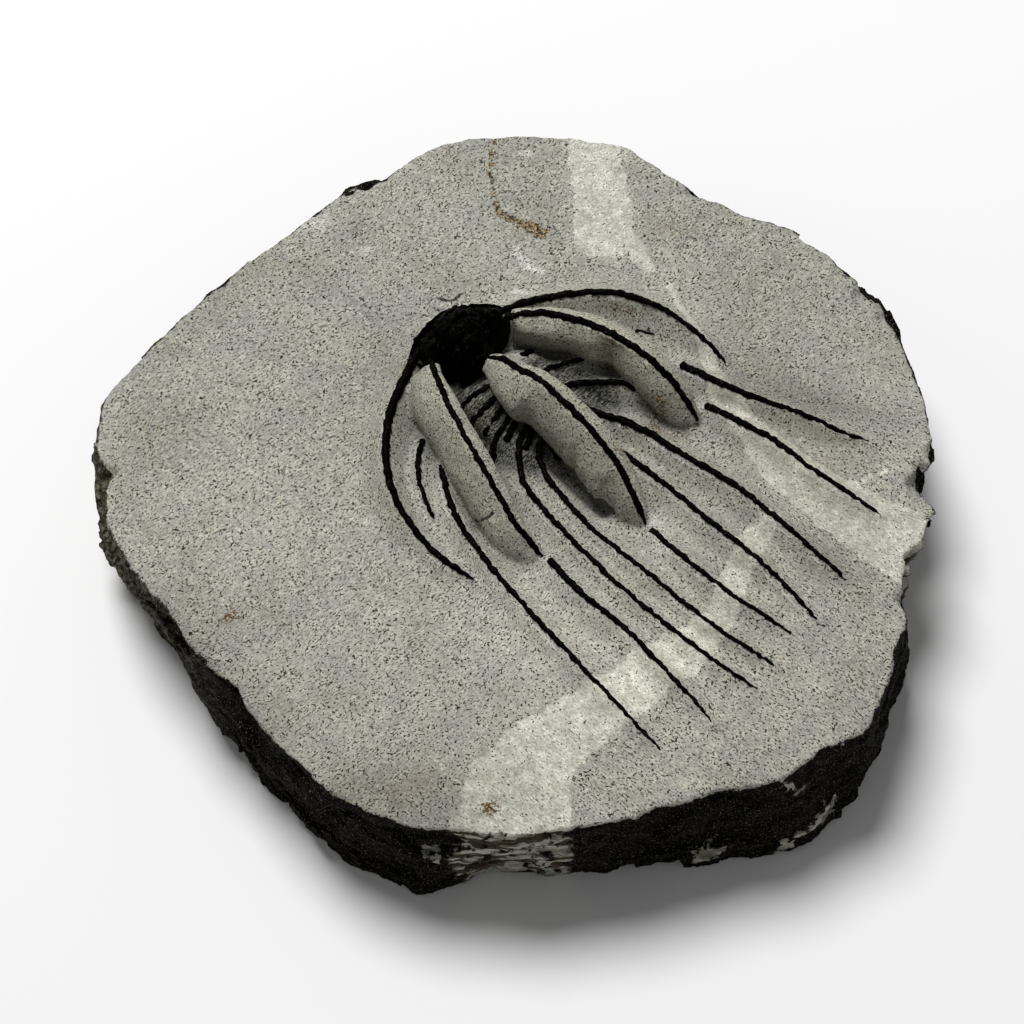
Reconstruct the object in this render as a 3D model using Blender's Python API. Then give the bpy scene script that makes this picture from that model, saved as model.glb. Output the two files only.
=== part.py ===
"""A spiny trilobite left standing on its slab of grey limestone.

The slab lies flat on the plane z = 0, with the origin under its middle. The animal's head is
towards -X +Y and its tail towards +X -Y. Behind the black head shield the long spines still
rest on what the preparator left under them: low ridges across the slab, and three tall fins.

Plan positions are in millimetres. A height h is in millimetres above the slab's upper face.
"""
import math

import bmesh
import bpy
from mathutils import Vector

MM = 0.001

# Driving dimensions, mm
SLAB_THICKNESS = 22.0
EDGE_DROP = 0.8          # how far the worn rim lies below the upper face
EDGE_WIDTH = 2.5         # width of the worn rim
SIDE_BULGE = 1.0         # how far the broken side stands out at half height
SIDE_UNEVENNESS = 0.6    # share of that bulge that comes and goes around the slab
SIDE_WAVES = [(13, 5), (7, -9)]   # its waves: number around the slab, radians from foot to top
CLEARANCE = 0.3          # gap between a fossil piece and the rock under it
BURIED = 1.5             # how far a ridge or fin reaches into the slab
SLAB_STATIONS = 90
SLAB_LEVELS = [(0.0, 1.0, 0.0), (0.35, 0.6, 0.8), (0.7, 0.25, 1.0)]  # height, flare, bulge
SPINE_SIDES = 5
SPINE_STATIONS = 13
# Share of a spine's length, share of its radius there
SPINE_TAPER = [(0.0, 1.0), (0.1, 1.0), (0.94, 0.6), (1.0, 0.35)]
FIN_SPINE_TAPER = [(0.0, 0.75), (0.1, 1.0), (0.94, 0.9), (1.0, 0.45)]
RIDGE_TOP_EXTRA = 0.15   # ridge top beyond the spine's radius, each side
RIDGE_SPREAD = 0.75      # ridge foot beyond its top, for each mm of its height
RIDGE_LEAST = 0.05       # least height of a ridge
SHOULDER_HEIGHT = 0.6    # share of a ridge's height at which its flank bends
SHOULDER_SPREAD = 0.35   # share of the flank's width above that bend

# Outline of the slab's upper face: (bearing in degrees from +X, radius in mm)
RIM = [
    (1, 64), (7, 66.2), (20, 66.9), (29, 68), (37, 67.3), (46, 65.4), (53, 62.8), (60, 62.1),
    (66, 63.2), (73, 65.8), (88, 65.9), (100, 65.2), (109, 61.8), (119, 60), (128, 58.9),
    (142, 59.3), (150, 60.9), (157, 62.5), (167, 66.5), (174, 65.4), (178, 63.7), (186, 63),
    (194, 60), (200, 57.5), (205, 56.4), (211, 56.3), (220, 54.3), (229, 56.2), (235, 56.6),
    (242, 58.4), (256, 59.3), (262, 58.5), (280, 58.4), (292, 58.4), (301, 60.1), (305, 62.3),
    (309, 64.2), (316, 64.2), (321, 67.4), (328, 66), (334, 64.4), (338, 64.6), (342, 62.8),
    (348, 62.8), (355, 65.2), (357, 64),
]

# How far the foot of the broken side stands out beyond the rim: (bearing, mm)
FOOT_FLARE = [
    (1, -1.5), (5, 0), (20, 1), (90, 1), (150, 1), (168, 0.2), (177, 2.4), (182, 0.8), (186, -1),
    (194, -1.8), (202, -2.2), (210, -1.6), (216, 0.3), (250, 0.4), (257, 0.9), (261, -0.5),
    (267, -2.8), (279, -1.6), (286, -0.2), (294, 1.1), (300, 2.5), (306, 2.4), (312, 4.2),
    (317, 3.8), (322, 0.8), (332, 1.5), (340, 1.7), (344, 0.5), (348, -0.5), (352, -4),
    (356, -4.6),
]

# Spines on their own ridges: radius, then points (x, y, h) from root to tip
RIDGE_SPINES = {
    "genal_spine_left": (0.76, [
        (-16.5, 17.4, 4), (-19.0, 10.5, 4), (-19.6, 4.0, 4), (-18.9, -1.4, 3.5),
        (-16.9, -6.4, 3), (-14.2, -10.5, 2.5), (-10.5, -14.3, 2), (-6.0, -17.0, 0.9)]),
    "genal_spine_right": (0.64, [
        (1.6, 30.4, 4), (6.8, 31.8, 4), (13.0, 32.6, 4), (18.4, 32.0, 4),
        (25.1, 29.1, 3.5), (31.1, 24.4, 2), (34.2, 20.7, 0.9)]),
    "side_spine_left": (0.56, [
        (-14.0, 6.8, 1.6), (-14.6, 2.8, 2.3), (-14.3, -1.0, 2.3), (-12.2, -6.7, 1.2)]),
    "fan_spine_1": (0.52, [
        (-10.4, -1.2, 2.2), (-8.7, -6.9, 2.5), (-5.2, -12.9, 2.5), (0.8, -21.1, 2.5),
        (10.1, -32.1, 2.5), (16.2, -39.0, 2), (22.0, -45.2, 0.8)]),
    "fan_spine_2": (0.52, [
        (5.8, -14.3, 2), (10.1, -19.8, 2.5), (16.4, -25.6, 2.5), (22.0, -31.9, 2.5),
        (27.4, -37.9, 1.5), (29.7, -40.7, 0.8)]),
    "fan_spine_3": (0.5, [
        (1.0, 4.0, 2.8), (2.0, -1.1, 2), (6.0, -7.1, 2.2), (12.0, -14.3, 2.5),
        (19.6, -22.1, 2.5), (29.1, -30.2, 2), (36.7, -35.4, 0.8)]),
    "fan_spine_4": (0.48, [
        (4.5, 2.3, 2.6), (6.3, -1.5, 2.5), (12.0, -8.7, 2.2), (20.3, -16.5, 2.5),
        (30.5, -25.6, 2.2), (39.4, -31.4, 0.8)]),
    "fan_spine_5": (0.46, [
        (21.4, -8.9, 1.5), (26.6, -14.5, 2.5), (32.7, -19.9, 2.4), (37.4, -23.2, 2),
        (42.1, -26.2, 0.8)]),
    "fan_spine_6": (0.5, [
        (17.9, 3.9, 1.8), (24.0, -1.8, 2.5), (30.3, -7.8, 2.5), (36.5, -13.4, 2.5),
        (41.6, -18.6, 1.8), (46.1, -23.8, 0.8)]),
    "fan_spine_7": (0.6, [
        (13.2, 10.9, 3.2), (19.4, 8.6, 3), (26.4, 3.6, 3), (34.6, -2.0, 3),
        (41.3, -8.2, 2.8), (47.4, -13.9, 2), (50.9, -17.1, 0.8)]),
    "fan_spine_8": (0.53, [
        (30.5, 12.9, 2), (35.5, 9.5, 3), (40.6, 6.2, 3), (45.6, 1.8, 3),
        (50.5, -1.8, 2.5), (57.3, -6.2, 0.8)]),
    "fan_spine_9": (0.6, [
        (26.9, 20.3, 2), (31.9, 16.9, 3), (38.3, 13.7, 3), (44.7, 11.3, 2.8),
        (51.1, 8.3, 2), (55.8, 7.2, 0.8)]),
    "hollow_spine_lower": (0.5, [
        (9.3, 15.8, 3.6), (13.0, 16.4, 3.3), (17.5, 16.6, 2.6)]),
    "hollow_spine_upper": (0.4, [
        (6.1, 18.5, 3.5), (8.8, 20.0, 3.3), (11.4, 20.7, 2.8)]),
}

# Fins: the spine on the crest, the edge of the left face and the shape of the right face.
# base gives (share of the length, h) of the fin's underside, which hangs free at the head end.
FINS = {
    "left": {
        "spine": (0.6, [
            (-12.2, 15.8, 8), (-10.5, 10.7, 9.5), (-8.8, 6.2, 10), (-4.5, -2.0, 9),
            (0.0, -9.0, 5.5), (2.9, -12.0, 3), (4.9, -13.7, 1.3)]),
        "left_edge": [
            (-15.9, 15.6, 1.5), (-14.5, 9.4, 1.5), (-12.3, 5.1, 1), (-9.3, -0.4, 0.6),
            (-5.4, -7.4, 0.4), (-2.2, -11.9, 0.3), (4.1, -14.3, 0.2)],
        "right_offset": 2.0,
        "undercut": 0.3,
        "base": [(0.0, -1.5), (1.0, -1.5)],
    },
    "middle": {
        "spine": (0.64, [
            (-3.7, 17.4, 9), (-1.4, 15.9, 11), (1.1, 13.3, 12.5), (5.0, 10.0, 13.5),
            (11.3, 3.8, 12), (16.2, -1.4, 8.5), (19.2, -6.0, 4.5), (20.5, -7.7, 1.4)]),
        "left_edge": [
            (-4.9, 16.4, 7.4), (-2.4, 11.8, 6.5), (1.0, 7.9, 5.9), (4.1, 6.0, 5.2),
            (10.0, 0.2, 3.4), (13.4, -3.5, 2.3), (16.4, -6.4, 1), (20.0, -8.0, 0.3)],
        "right_offset": 2.6,
        "undercut": 3.2,
        "base": [(0.0, 7.0), (0.1, 6.0), (0.22, 0.5), (0.3, -1.5), (1.0, -1.5)],
    },
    "right": {
        "spine": (0.7, [
            (2.0, 26.3, 7.6), (6.6, 25.3, 9), (13.6, 22.2, 10), (20.1, 18.1, 9.5),
            (24.7, 14.7, 7), (28.0, 11.8, 3), (29.0, 10.6, 1.3)]),
        "left_edge": [
            (2.0, 23.9, 5.3), (5.3, 22.6, 5.3), (9.3, 21.6, 5.2), (14.6, 19.2, 4.9),
            (17.6, 17.0, 4.4), (22.0, 12.9, 2.8), (27.9, 10.0, 0.3)],
        "right_offset": 2.8,
        "undercut": 1.6,
        "base": [(0.0, -1.5), (1.0, -1.5)],
    },
}
CREST_HALF_WIDTH = 0.6   # half-width of the flat top of a fin, under its spine
LEAST_FACE = 0.2         # least height of a fin's left face
SHOULDER_DROP = 0.45     # fall of a fin's right shoulder for each mm outwards
FOOT_TUCK = 0.9          # foot of the right face, as a share of the shoulder's offset
BULGE_WAY = 0.45         # bend of the left face: share of the way from edge to crest
BULGE_OUT = 0.5          # and how far it stands out there, mm
BULGE_HEIGHT = 0.62      # and share of the face's height
FULL_SHARES = (0.08, 0.94)   # shares of the length that stand for its pinched ends

# The ribbed thorax lies over a low mound behind the head
MOUND_CENTRE = (4.8, 11.3)
MOUND_HALF_LENGTH = 9.0
MOUND_HALF_WIDTH = 9.0
MOUND_HEIGHT = 3.6
MOUND_SQUARENESS = 3     # exponent of its outline; 2 would be an ellipse
MOUND_SIDES = 20
MOUND_SHARES = (1.04, 0.97, 0.86, 0.66, 0.35)   # rings, as shares of its outline
TAIL_BEARING = math.radians(-45)

# Ends of the thoracic segments, draped over the mound: points (x, y) from the left end inwards
RIB_RADIUS = 0.4
RIBS = [
    [(-8.0, 13.9), (-5.6, 14.7), (-3.0, 15.1)],
    [(-6.7, 10.9), (-4.3, 12.3), (-2.4, 13.1)],
    [(-4.3, 8.9), (-2.8, 10.2), (-1.9, 11.4)],
    [(-3.3, 3.8), (-3.3, 6.2), (-1.8, 8.2), (-0.9, 9.9)],
    [(-0.7, 6.7), (0.0, 7.8)],
    [(2.2, 5.2), (2.6, 6.1)],
    [(4.7, 4.0), (5.9, 3.0)],
]
RIB_STUB_RIGHT = [(1.7, 21.8), (3.3, 23.0)]
RIB_STATIONS = 5
FOOTING_SIDES = 8
RIB_TAPER = [(0.0, 0.8), (0.2, 1.0), (1.0, 1.0)]   # share of length, share of radius

SPINE_FRAGMENT = (0.3, [(19.6, 27.3), (21.2, 26.9), (22.5, 26.4)])

# Head shield: outline (x, y) of its foot, and its dome as (share of the outline, h)
HEAD_CENTRE = (-7.5, 23.3)
HEAD_OUTLINE = [
    (-15.7, 20.0), (-15.8, 22.4), (-14.9, 24.8), (-13.0, 27.8), (-9.9, 29.7), (-5.1, 30.4),
    (-1.1, 29.9), (0.8, 28.6), (0.8, 26.0), (-1.1, 22.4), (-3.3, 17.4), (-7.9, 16.3),
    (-11.3, 18.4), (-13.7, 19.8),
]
HEAD_RINGS = [(1.0, 0.3), (0.98, 2.4), (0.9, 4.6), (0.74, 6.2), (0.5, 7.1), (0.25, 7.6)]
HEAD_TOP = 7.8
HEAD_SIDES = 28
GLABELLA_HALF_WIDTH = 3.2
GLABELLA_RISE = 0.9
CHEEK_SINK = 0.4         # cheeks below the plain dome, as a share of that rise

ROCK_COLOUR = (0.34, 0.33, 0.31, 1.0)
FOSSIL_COLOUR = (0.012, 0.011, 0.010, 1.0)


def make_material(name, colour, roughness):
    material = bpy.data.materials.new(name)
    material.use_nodes = True
    shader = material.node_tree.nodes["Principled BSDF"]
    shader.inputs["Base Color"].default_value = colour
    shader.inputs["Roughness"].default_value = roughness
    shader.inputs["Metallic"].default_value = 0.0
    return material


def at_height(x, y, h):
    """Point in metres from plan mm and a height above the slab's upper face."""
    return Vector((x * MM, y * MM, (SLAB_THICKNESS + h) * MM))


def between(table, value):
    """Linear interpolation in a short table of (position, value) pairs."""
    for (low, a), (high, b) in zip(table, table[1:]):
        if value <= high:
            return a + (b - a) * max(0.0, value - low) / (high - low)
    return table[-1][1]


def around(table, bearing):
    """The same, for a table of bearings that closes on itself."""
    first = table[0]
    last = table[-1]
    closed = [(last[0] - 360, last[1])] + table + [(first[0] + 360, first[1])]
    return between(closed, bearing)


def smooth_curve(points, count):
    """Evenly spaced points on a Catmull-Rom curve through the given ones, in their own unit."""
    points = [Vector(p) for p in points]
    ends = [2 * points[0] - points[1]] + points + [2 * points[-1] - points[-2]]
    fine_steps = 16
    fine = []
    for p0, p1, p2, p3 in zip(ends, ends[1:], ends[2:], ends[3:]):
        for step in range(fine_steps):
            t = step / fine_steps
            fine.append(0.5 * (
                2 * p1 + (p2 - p0) * t
                + (2 * p0 - 5 * p1 + 4 * p2 - p3) * t ** 2
                + (3 * p1 - p0 - 3 * p2 + p3) * t ** 3))
    fine.append(points[-1])
    travelled = [0.0]
    for a, b in zip(fine, fine[1:]):
        travelled.append(travelled[-1] + (b - a).length)
    curve = []
    piece = 0
    for index in range(count):
        goal = travelled[-1] * index / (count - 1)
        while piece < len(fine) - 2 and travelled[piece + 1] < goal:
            piece += 1
        share = (goal - travelled[piece]) / (travelled[piece + 1] - travelled[piece])
        curve.append(fine[piece].lerp(fine[piece + 1], share))
    return curve


def directions(curve):
    """Unit direction along a curve at each of its points."""
    result = []
    for index in range(len(curve)):
        before = curve[max(index - 1, 0)]
        after = curve[min(index + 1, len(curve) - 1)]
        result.append((after - before).normalized())
    return result


def to_right(direction):
    """Unit plan vector towards the animal's right of a direction that points to its tail."""
    return Vector((-direction.y, direction.x, 0)).normalized()


def new_object(name, vertices, faces, material):
    mesh = bpy.data.meshes.new(name)
    mesh.from_pydata(vertices, [], faces)
    shell = bmesh.new()
    shell.from_mesh(mesh)
    bmesh.ops.triangulate(shell, faces=shell.faces)
    bmesh.ops.recalc_face_normals(shell, faces=shell.faces)
    shell.to_mesh(mesh)
    shell.free()
    mesh.materials.append(material)
    piece = bpy.data.objects.new(name, mesh)
    bpy.context.scene.collection.objects.link(piece)
    return piece


def loft(name, rings, material):
    """Closed solid through rings of equally many points, with a flat fan at each end."""
    sides = len(rings[0])
    vertices = [point for ring in rings for point in ring]
    faces = []
    for low in range(len(rings) - 1):
        for side in range(sides):
            after = (side + 1) % sides
            faces.append((
                low * sides + side, low * sides + after,
                (low + 1) * sides + after, (low + 1) * sides + side))
    for ring, start in ((rings[0], 0), (rings[-1], (len(rings) - 1) * sides)):
        middle = len(vertices)
        vertices.append(sum(ring, Vector()) / sides)
        for side in range(sides):
            faces.append((start + side, start + (side + 1) % sides, middle))
    return new_object(name, vertices, faces, material)


def smooth_shading(piece, sharp_angle):
    piece.data.shade_smooth()
    piece.data.set_sharp_from_angle(angle=math.radians(sharp_angle))


def tube(name, curve, radii, material):
    """Round tapering rod along a curve of points in metres."""
    rings = []
    for centre, direction, radius in zip(curve, directions(curve), radii):
        across = to_right(direction)
        upward = across.cross(direction).normalized()
        ring = []
        for side in range(SPINE_SIDES):
            turn = 2 * math.pi * (side + 0.5) / SPINE_SIDES - math.pi / 2
            ring.append(centre + radius * (math.cos(turn) * across + math.sin(turn) * upward))
        rings.append(ring)
    rod = loft(name, rings, material)
    smooth_shading(rod, 60)
    return rod


def taper(radius, count, table):
    """Radii along a spine, from a table of shares."""
    return [radius * between(table, index / (count - 1)) for index in range(count)]


def spine(name, radius, points, table, material):
    curve = smooth_curve(points, SPINE_STATIONS)
    radii = taper(radius, SPINE_STATIONS, table)
    tube(name, [at_height(*p) for p in curve], [r * MM for r in radii], material)


def slab(material):
    """The broken slab: flat underside, rough sides and a worn rim around a flat face."""
    rings = []
    for height, flare, bulge in SLAB_LEVELS:
        ring = []
        for station in range(SLAB_STATIONS):
            bearing = 360 * station / SLAB_STATIONS
            angle = math.radians(bearing)
            rough = math.prod(
                math.sin(waves * angle + turn * height) for waves, turn in SIDE_WAVES)
            radius = around(RIM, bearing) + flare * around(FOOT_FLARE, bearing)
            radius += SIDE_BULGE * bulge * (1 - SIDE_UNEVENNESS + SIDE_UNEVENNESS * rough)
            ring.append(Vector((
                radius * math.cos(angle), radius * math.sin(angle),
                height * SLAB_THICKNESS)) * MM)
        rings.append(ring)
    for inset, drop in ((0.0, EDGE_DROP), (EDGE_WIDTH, 0.0)):
        ring = []
        for station in range(SLAB_STATIONS):
            bearing = 360 * station / SLAB_STATIONS
            angle = math.radians(bearing)
            radius = around(RIM, bearing) - inset
            ring.append(at_height(
                radius * math.cos(angle), radius * math.sin(angle), -drop))
        rings.append(ring)
    return loft("matrix", rings, material)


def crest_under(centre, direction, radius):
    """Height of the rock under a spine: the slant of a sloping spine takes more room."""
    slant = 1 / math.hypot(direction.x, direction.y)
    return centre.z - (radius + CLEARANCE) * slant


def ridge(name, radius, points, material):
    """The low wall of rock under a spine that crosses the slab."""
    curve = smooth_curve(points, SPINE_STATIONS)
    radii = taper(radius, SPINE_STATIONS, SPINE_TAPER)
    rings = []
    for centre, direction, spine_radius in zip(curve, directions(curve), radii):
        right = to_right(direction)
        top = max(crest_under(centre, direction, spine_radius), RIDGE_LEAST)
        half_top = spine_radius + RIDGE_TOP_EXTRA
        half_shoulder = half_top + SHOULDER_SPREAD * RIDGE_SPREAD * top
        shoulder = SHOULDER_HEIGHT * top
        half_foot = half_top + RIDGE_SPREAD * (top + BURIED)
        section = [
            (-half_foot, -BURIED), (-half_shoulder, shoulder), (-half_top, top),
            (half_top, top), (half_shoulder, shoulder), (half_foot, -BURIED)]
        ring = []
        for offset, h in section:
            place = centre + offset * right
            ring.append(at_height(place.x, place.y, h))
        rings.append(ring)
    return loft(name, rings, material)


def fin(name, shape, material):
    """A tall thin wall of rock under a spine, leaning over the hollow on one side."""
    radius, spine_points = shape["spine"]
    crest = smooth_curve(spine_points, SPINE_STATIONS)
    left_edge = smooth_curve(shape["left_edge"], SPINE_STATIONS)
    pinched, blunt = FULL_SHARES
    rings = []
    for index, (top, direction, edge) in enumerate(zip(crest, directions(crest), left_edge)):
        share = index / (SPINE_STATIONS - 1)
        right = to_right(direction)
        base = between(shape["base"], share)
        crest_h = crest_under(top, direction, radius)
        edge_h = min(edge.z, crest_h - LEAST_FACE)
        fullness = math.sqrt(math.sin(math.pi * min(max(share, pinched), blunt)))
        out = shape["right_offset"] * fullness
        shoulder_h = crest_h - SHOULDER_DROP * out
        crest_left = top - CREST_HALF_WIDTH * right
        crest_right = top + CREST_HALF_WIDTH * right
        shoulder = top + out * right
        foot = top + FOOT_TUCK * out * right
        bulge = edge.lerp(crest_left, BULGE_WAY) - BULGE_OUT * fullness * right
        inner = edge + shape["undercut"] * fullness * right
        ring = [
            at_height(inner.x, inner.y, min(base, edge_h - LEAST_FACE / 2)),
            at_height(edge.x, edge.y, edge_h),
            at_height(bulge.x, bulge.y, edge_h + BULGE_HEIGHT * (crest_h - edge_h)),
            at_height(crest_left.x, crest_left.y, crest_h),
            at_height(crest_right.x, crest_right.y, crest_h),
            at_height(shoulder.x, shoulder.y, shoulder_h),
            at_height(foot.x, foot.y, min(base, shoulder_h - LEAST_FACE / 2)),
        ]
        rings.append(ring)
    return loft(name, rings, material)


def mound_height(x, y):
    """Height of the mound under the thorax above the slab's face."""
    dx = x - MOUND_CENTRE[0]
    dy = y - MOUND_CENTRE[1]
    along = dx * math.cos(TAIL_BEARING) + dy * math.sin(TAIL_BEARING)
    across = dy * math.cos(TAIL_BEARING) - dx * math.sin(TAIL_BEARING)
    reach = (
        abs(along / MOUND_HALF_LENGTH) ** MOUND_SQUARENESS
        + abs(across / MOUND_HALF_WIDTH) ** MOUND_SQUARENESS)
    return MOUND_HEIGHT * math.sqrt(max(0.0, 1.0 - reach))


def mound(material):
    along = Vector((math.cos(TAIL_BEARING), math.sin(TAIL_BEARING), 0))
    across = to_right(along)
    centre = Vector((*MOUND_CENTRE, 0))
    rings = []
    for share in MOUND_SHARES:
        ring = []
        for side in range(MOUND_SIDES):
            turn = 2 * math.pi * side / MOUND_SIDES
            c = math.cos(turn)
            s = math.sin(turn)
            reach = abs(c) ** MOUND_SQUARENESS + abs(s) ** MOUND_SQUARENESS
            out = share * reach ** (-1 / MOUND_SQUARENESS)
            place = (
                centre + out * c * MOUND_HALF_LENGTH * along
                + out * s * MOUND_HALF_WIDTH * across)
            h = mound_height(place.x, place.y) if share < 1 else -BURIED
            ring.append(at_height(place.x, place.y, h))
        rings.append(ring)
    return loft("mound", rings, material)


def footing(x, y, reach):
    """Greatest height of the mound within a reach of a plan point."""
    turns = [2 * math.pi * side / FOOTING_SIDES for side in range(FOOTING_SIDES)]
    return max(
        mound_height(x + reach * math.cos(turn), y + reach * math.sin(turn)) for turn in turns)


def rib(name, radius, points, material):
    """End of a thoracic segment, lying over the mound or the slab."""
    curve = smooth_curve([(x, y, 0) for x, y in points], RIB_STATIONS)
    draped = [
        at_height(p.x, p.y, footing(p.x, p.y, radius) + CLEARANCE + radius) for p in curve]
    radii = taper(radius * MM, RIB_STATIONS, RIB_TAPER)
    tube(name, draped, radii, material)


def head_shield(material):
    """Domed cephalon with a raised glabella down its middle."""
    centre = Vector((*HEAD_CENTRE, 0))
    outline = smooth_curve(
        [(x, y, 0) for x, y in HEAD_OUTLINE + HEAD_OUTLINE[:1]], HEAD_SIDES + 1)[:-1]
    along = Vector((math.cos(TAIL_BEARING), math.sin(TAIL_BEARING), 0))
    across = to_right(along)
    rings = []
    for share, h in HEAD_RINGS:
        ring = []
        for foot in outline:
            place = centre.lerp(foot, share)
            offset = (place - centre).dot(across) / GLABELLA_HALF_WIDTH
            rise = GLABELLA_RISE * (1 - share ** 2) * (math.exp(-offset ** 2) - CHEEK_SINK)
            ring.append(at_height(place.x, place.y, h + rise))
        rings.append(ring)
    shield = loft("head_shield", rings, material)
    smooth_shading(shield, 50)


def union(base, additions):
    """Join the additions to the base solid and remove them."""
    group = bpy.data.collections.new("additions")
    bpy.context.scene.collection.children.link(group)
    for addition in additions:
        group.objects.link(addition)
    join = base.modifiers.new("join", "BOOLEAN")
    join.operation = "UNION"
    join.solver = "EXACT"
    join.operand_type = "COLLECTION"
    join.collection = group
    evaluated = base.evaluated_get(bpy.context.evaluated_depsgraph_get())
    joined = bpy.data.meshes.new_from_object(evaluated)
    base.modifiers.remove(join)
    base.data = joined
    for addition in additions:
        bpy.data.objects.remove(addition)
    bpy.data.collections.remove(group)


def build():
    for leftover in list(bpy.data.objects):
        bpy.data.objects.remove(leftover)

    rock = make_material("limestone", ROCK_COLOUR, 0.9)
    fossil = make_material("fossil", FOSSIL_COLOUR, 0.6)

    matrix = slab(rock)
    additions = [mound(rock)]
    for name, (radius, points) in RIDGE_SPINES.items():
        additions.append(ridge("ridge_" + name, radius, points, rock))
        spine(name, radius, points, SPINE_TAPER, fossil)
    for side, shape in FINS.items():
        additions.append(fin("fin_" + side, shape, rock))
        spine("fin_spine_" + side, *shape["spine"], FIN_SPINE_TAPER, fossil)
    union(matrix, additions)

    head_shield(fossil)
    for index, points in enumerate(RIBS):
        rib("thorax_rib_%d" % (index + 1), RIB_RADIUS, points, fossil)
    rib("rib_stub_right", RIB_RADIUS, RIB_STUB_RIGHT, fossil)
    rib("spine_fragment", *SPINE_FRAGMENT, fossil)


build()
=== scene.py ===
"""Dressed model of a spiny trilobite on its slab of grey limestone.

The rock is meshed from a distance field that melts the slab, its ridges and its three fins
together. The fossil is black tubes and a domed head, half sunk in it.

Lengths are in millimetres until a mesh is made, and h is the height above the slab's face.
"""
import math
from itertools import product

import bpy
import numpy as np
import openvdb
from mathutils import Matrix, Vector

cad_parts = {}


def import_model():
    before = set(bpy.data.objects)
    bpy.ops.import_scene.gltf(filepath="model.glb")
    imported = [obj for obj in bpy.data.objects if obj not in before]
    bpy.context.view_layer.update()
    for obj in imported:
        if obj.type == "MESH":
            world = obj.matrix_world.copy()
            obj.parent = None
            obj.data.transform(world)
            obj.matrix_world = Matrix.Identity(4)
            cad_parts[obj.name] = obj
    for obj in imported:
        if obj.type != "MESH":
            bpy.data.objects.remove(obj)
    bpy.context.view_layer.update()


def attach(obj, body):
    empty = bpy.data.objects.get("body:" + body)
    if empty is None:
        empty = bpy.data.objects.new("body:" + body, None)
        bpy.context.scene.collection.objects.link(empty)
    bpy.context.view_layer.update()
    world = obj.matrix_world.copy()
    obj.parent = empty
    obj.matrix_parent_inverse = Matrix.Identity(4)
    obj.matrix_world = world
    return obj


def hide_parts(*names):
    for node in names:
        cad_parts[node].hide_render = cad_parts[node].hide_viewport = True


MM = 0.001
SLAB_THICKNESS = 22.0  # the frame's
VOXEL = 0.35  # spacing of the grid that the rock is meshed on
ROCK_TRIANGLES = 190000
FAR = 9.0  # stands for a distance that is out of reach

# Outline of the slab's upper face: (bearing in degrees from +X, radius in mm)
RIM = [
    (1, 64.3), (4.5, 66.1), (7, 66.3), (20, 66.9), (29, 68), (37, 67.3), (46, 65.4), (53, 62.8),
    (60, 62.1), (66, 63.2), (73, 65.8), (88, 65.9), (100, 65.2), (109, 61.8), (119, 60), (128, 58.9),
    (142, 59.3), (150, 60.9), (157, 62.5), (167, 66.5), (174, 65.4), (178, 63.7), (186, 63), (194, 60),
    (200, 57.5), (205, 56.4), (211, 56.3), (220, 54.3), (229, 56.2), (235, 56.6), (242, 58.4),
    (256, 59.3), (262, 58.5), (280, 58.4), (292, 58.4), (301, 60.1), (305, 62.3), (309, 64.2),
    (316, 64.2), (321, 67.4), (328, 66), (334, 64.4), (338, 64.6), (342, 63.6), (348.3, 62.7),
    (350.5, 65.1), (355.5, 65.7), (357, 64.6), (359.5, 64.5),
]
# How far the foot of the broken side stands out beyond the rim: (bearing, mm)
FOOT_FLARE = [
    (1, -2.5), (5, -3), (11, -0.5), (20, 1), (90, 1), (150, 1), (168, 0.2), (177, 2.4), (182, 0.8),
    (186, -1), (194, -1.8), (202, -2.2), (210, -1.6), (216, 0.3), (250, 0.4), (257, 0.9), (261, -0.5),
    (267, -2.8), (279, -1.6), (286, -0.2), (294, 1.1), (300, 2.5), (306, 2.4), (312, 4.2), (317, 3.8),
    (322, 0.8), (332, 1.5), (340, 1.7), (344, 0), (348, -1.7), (352, -4), (356, -4.6),
]

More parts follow.
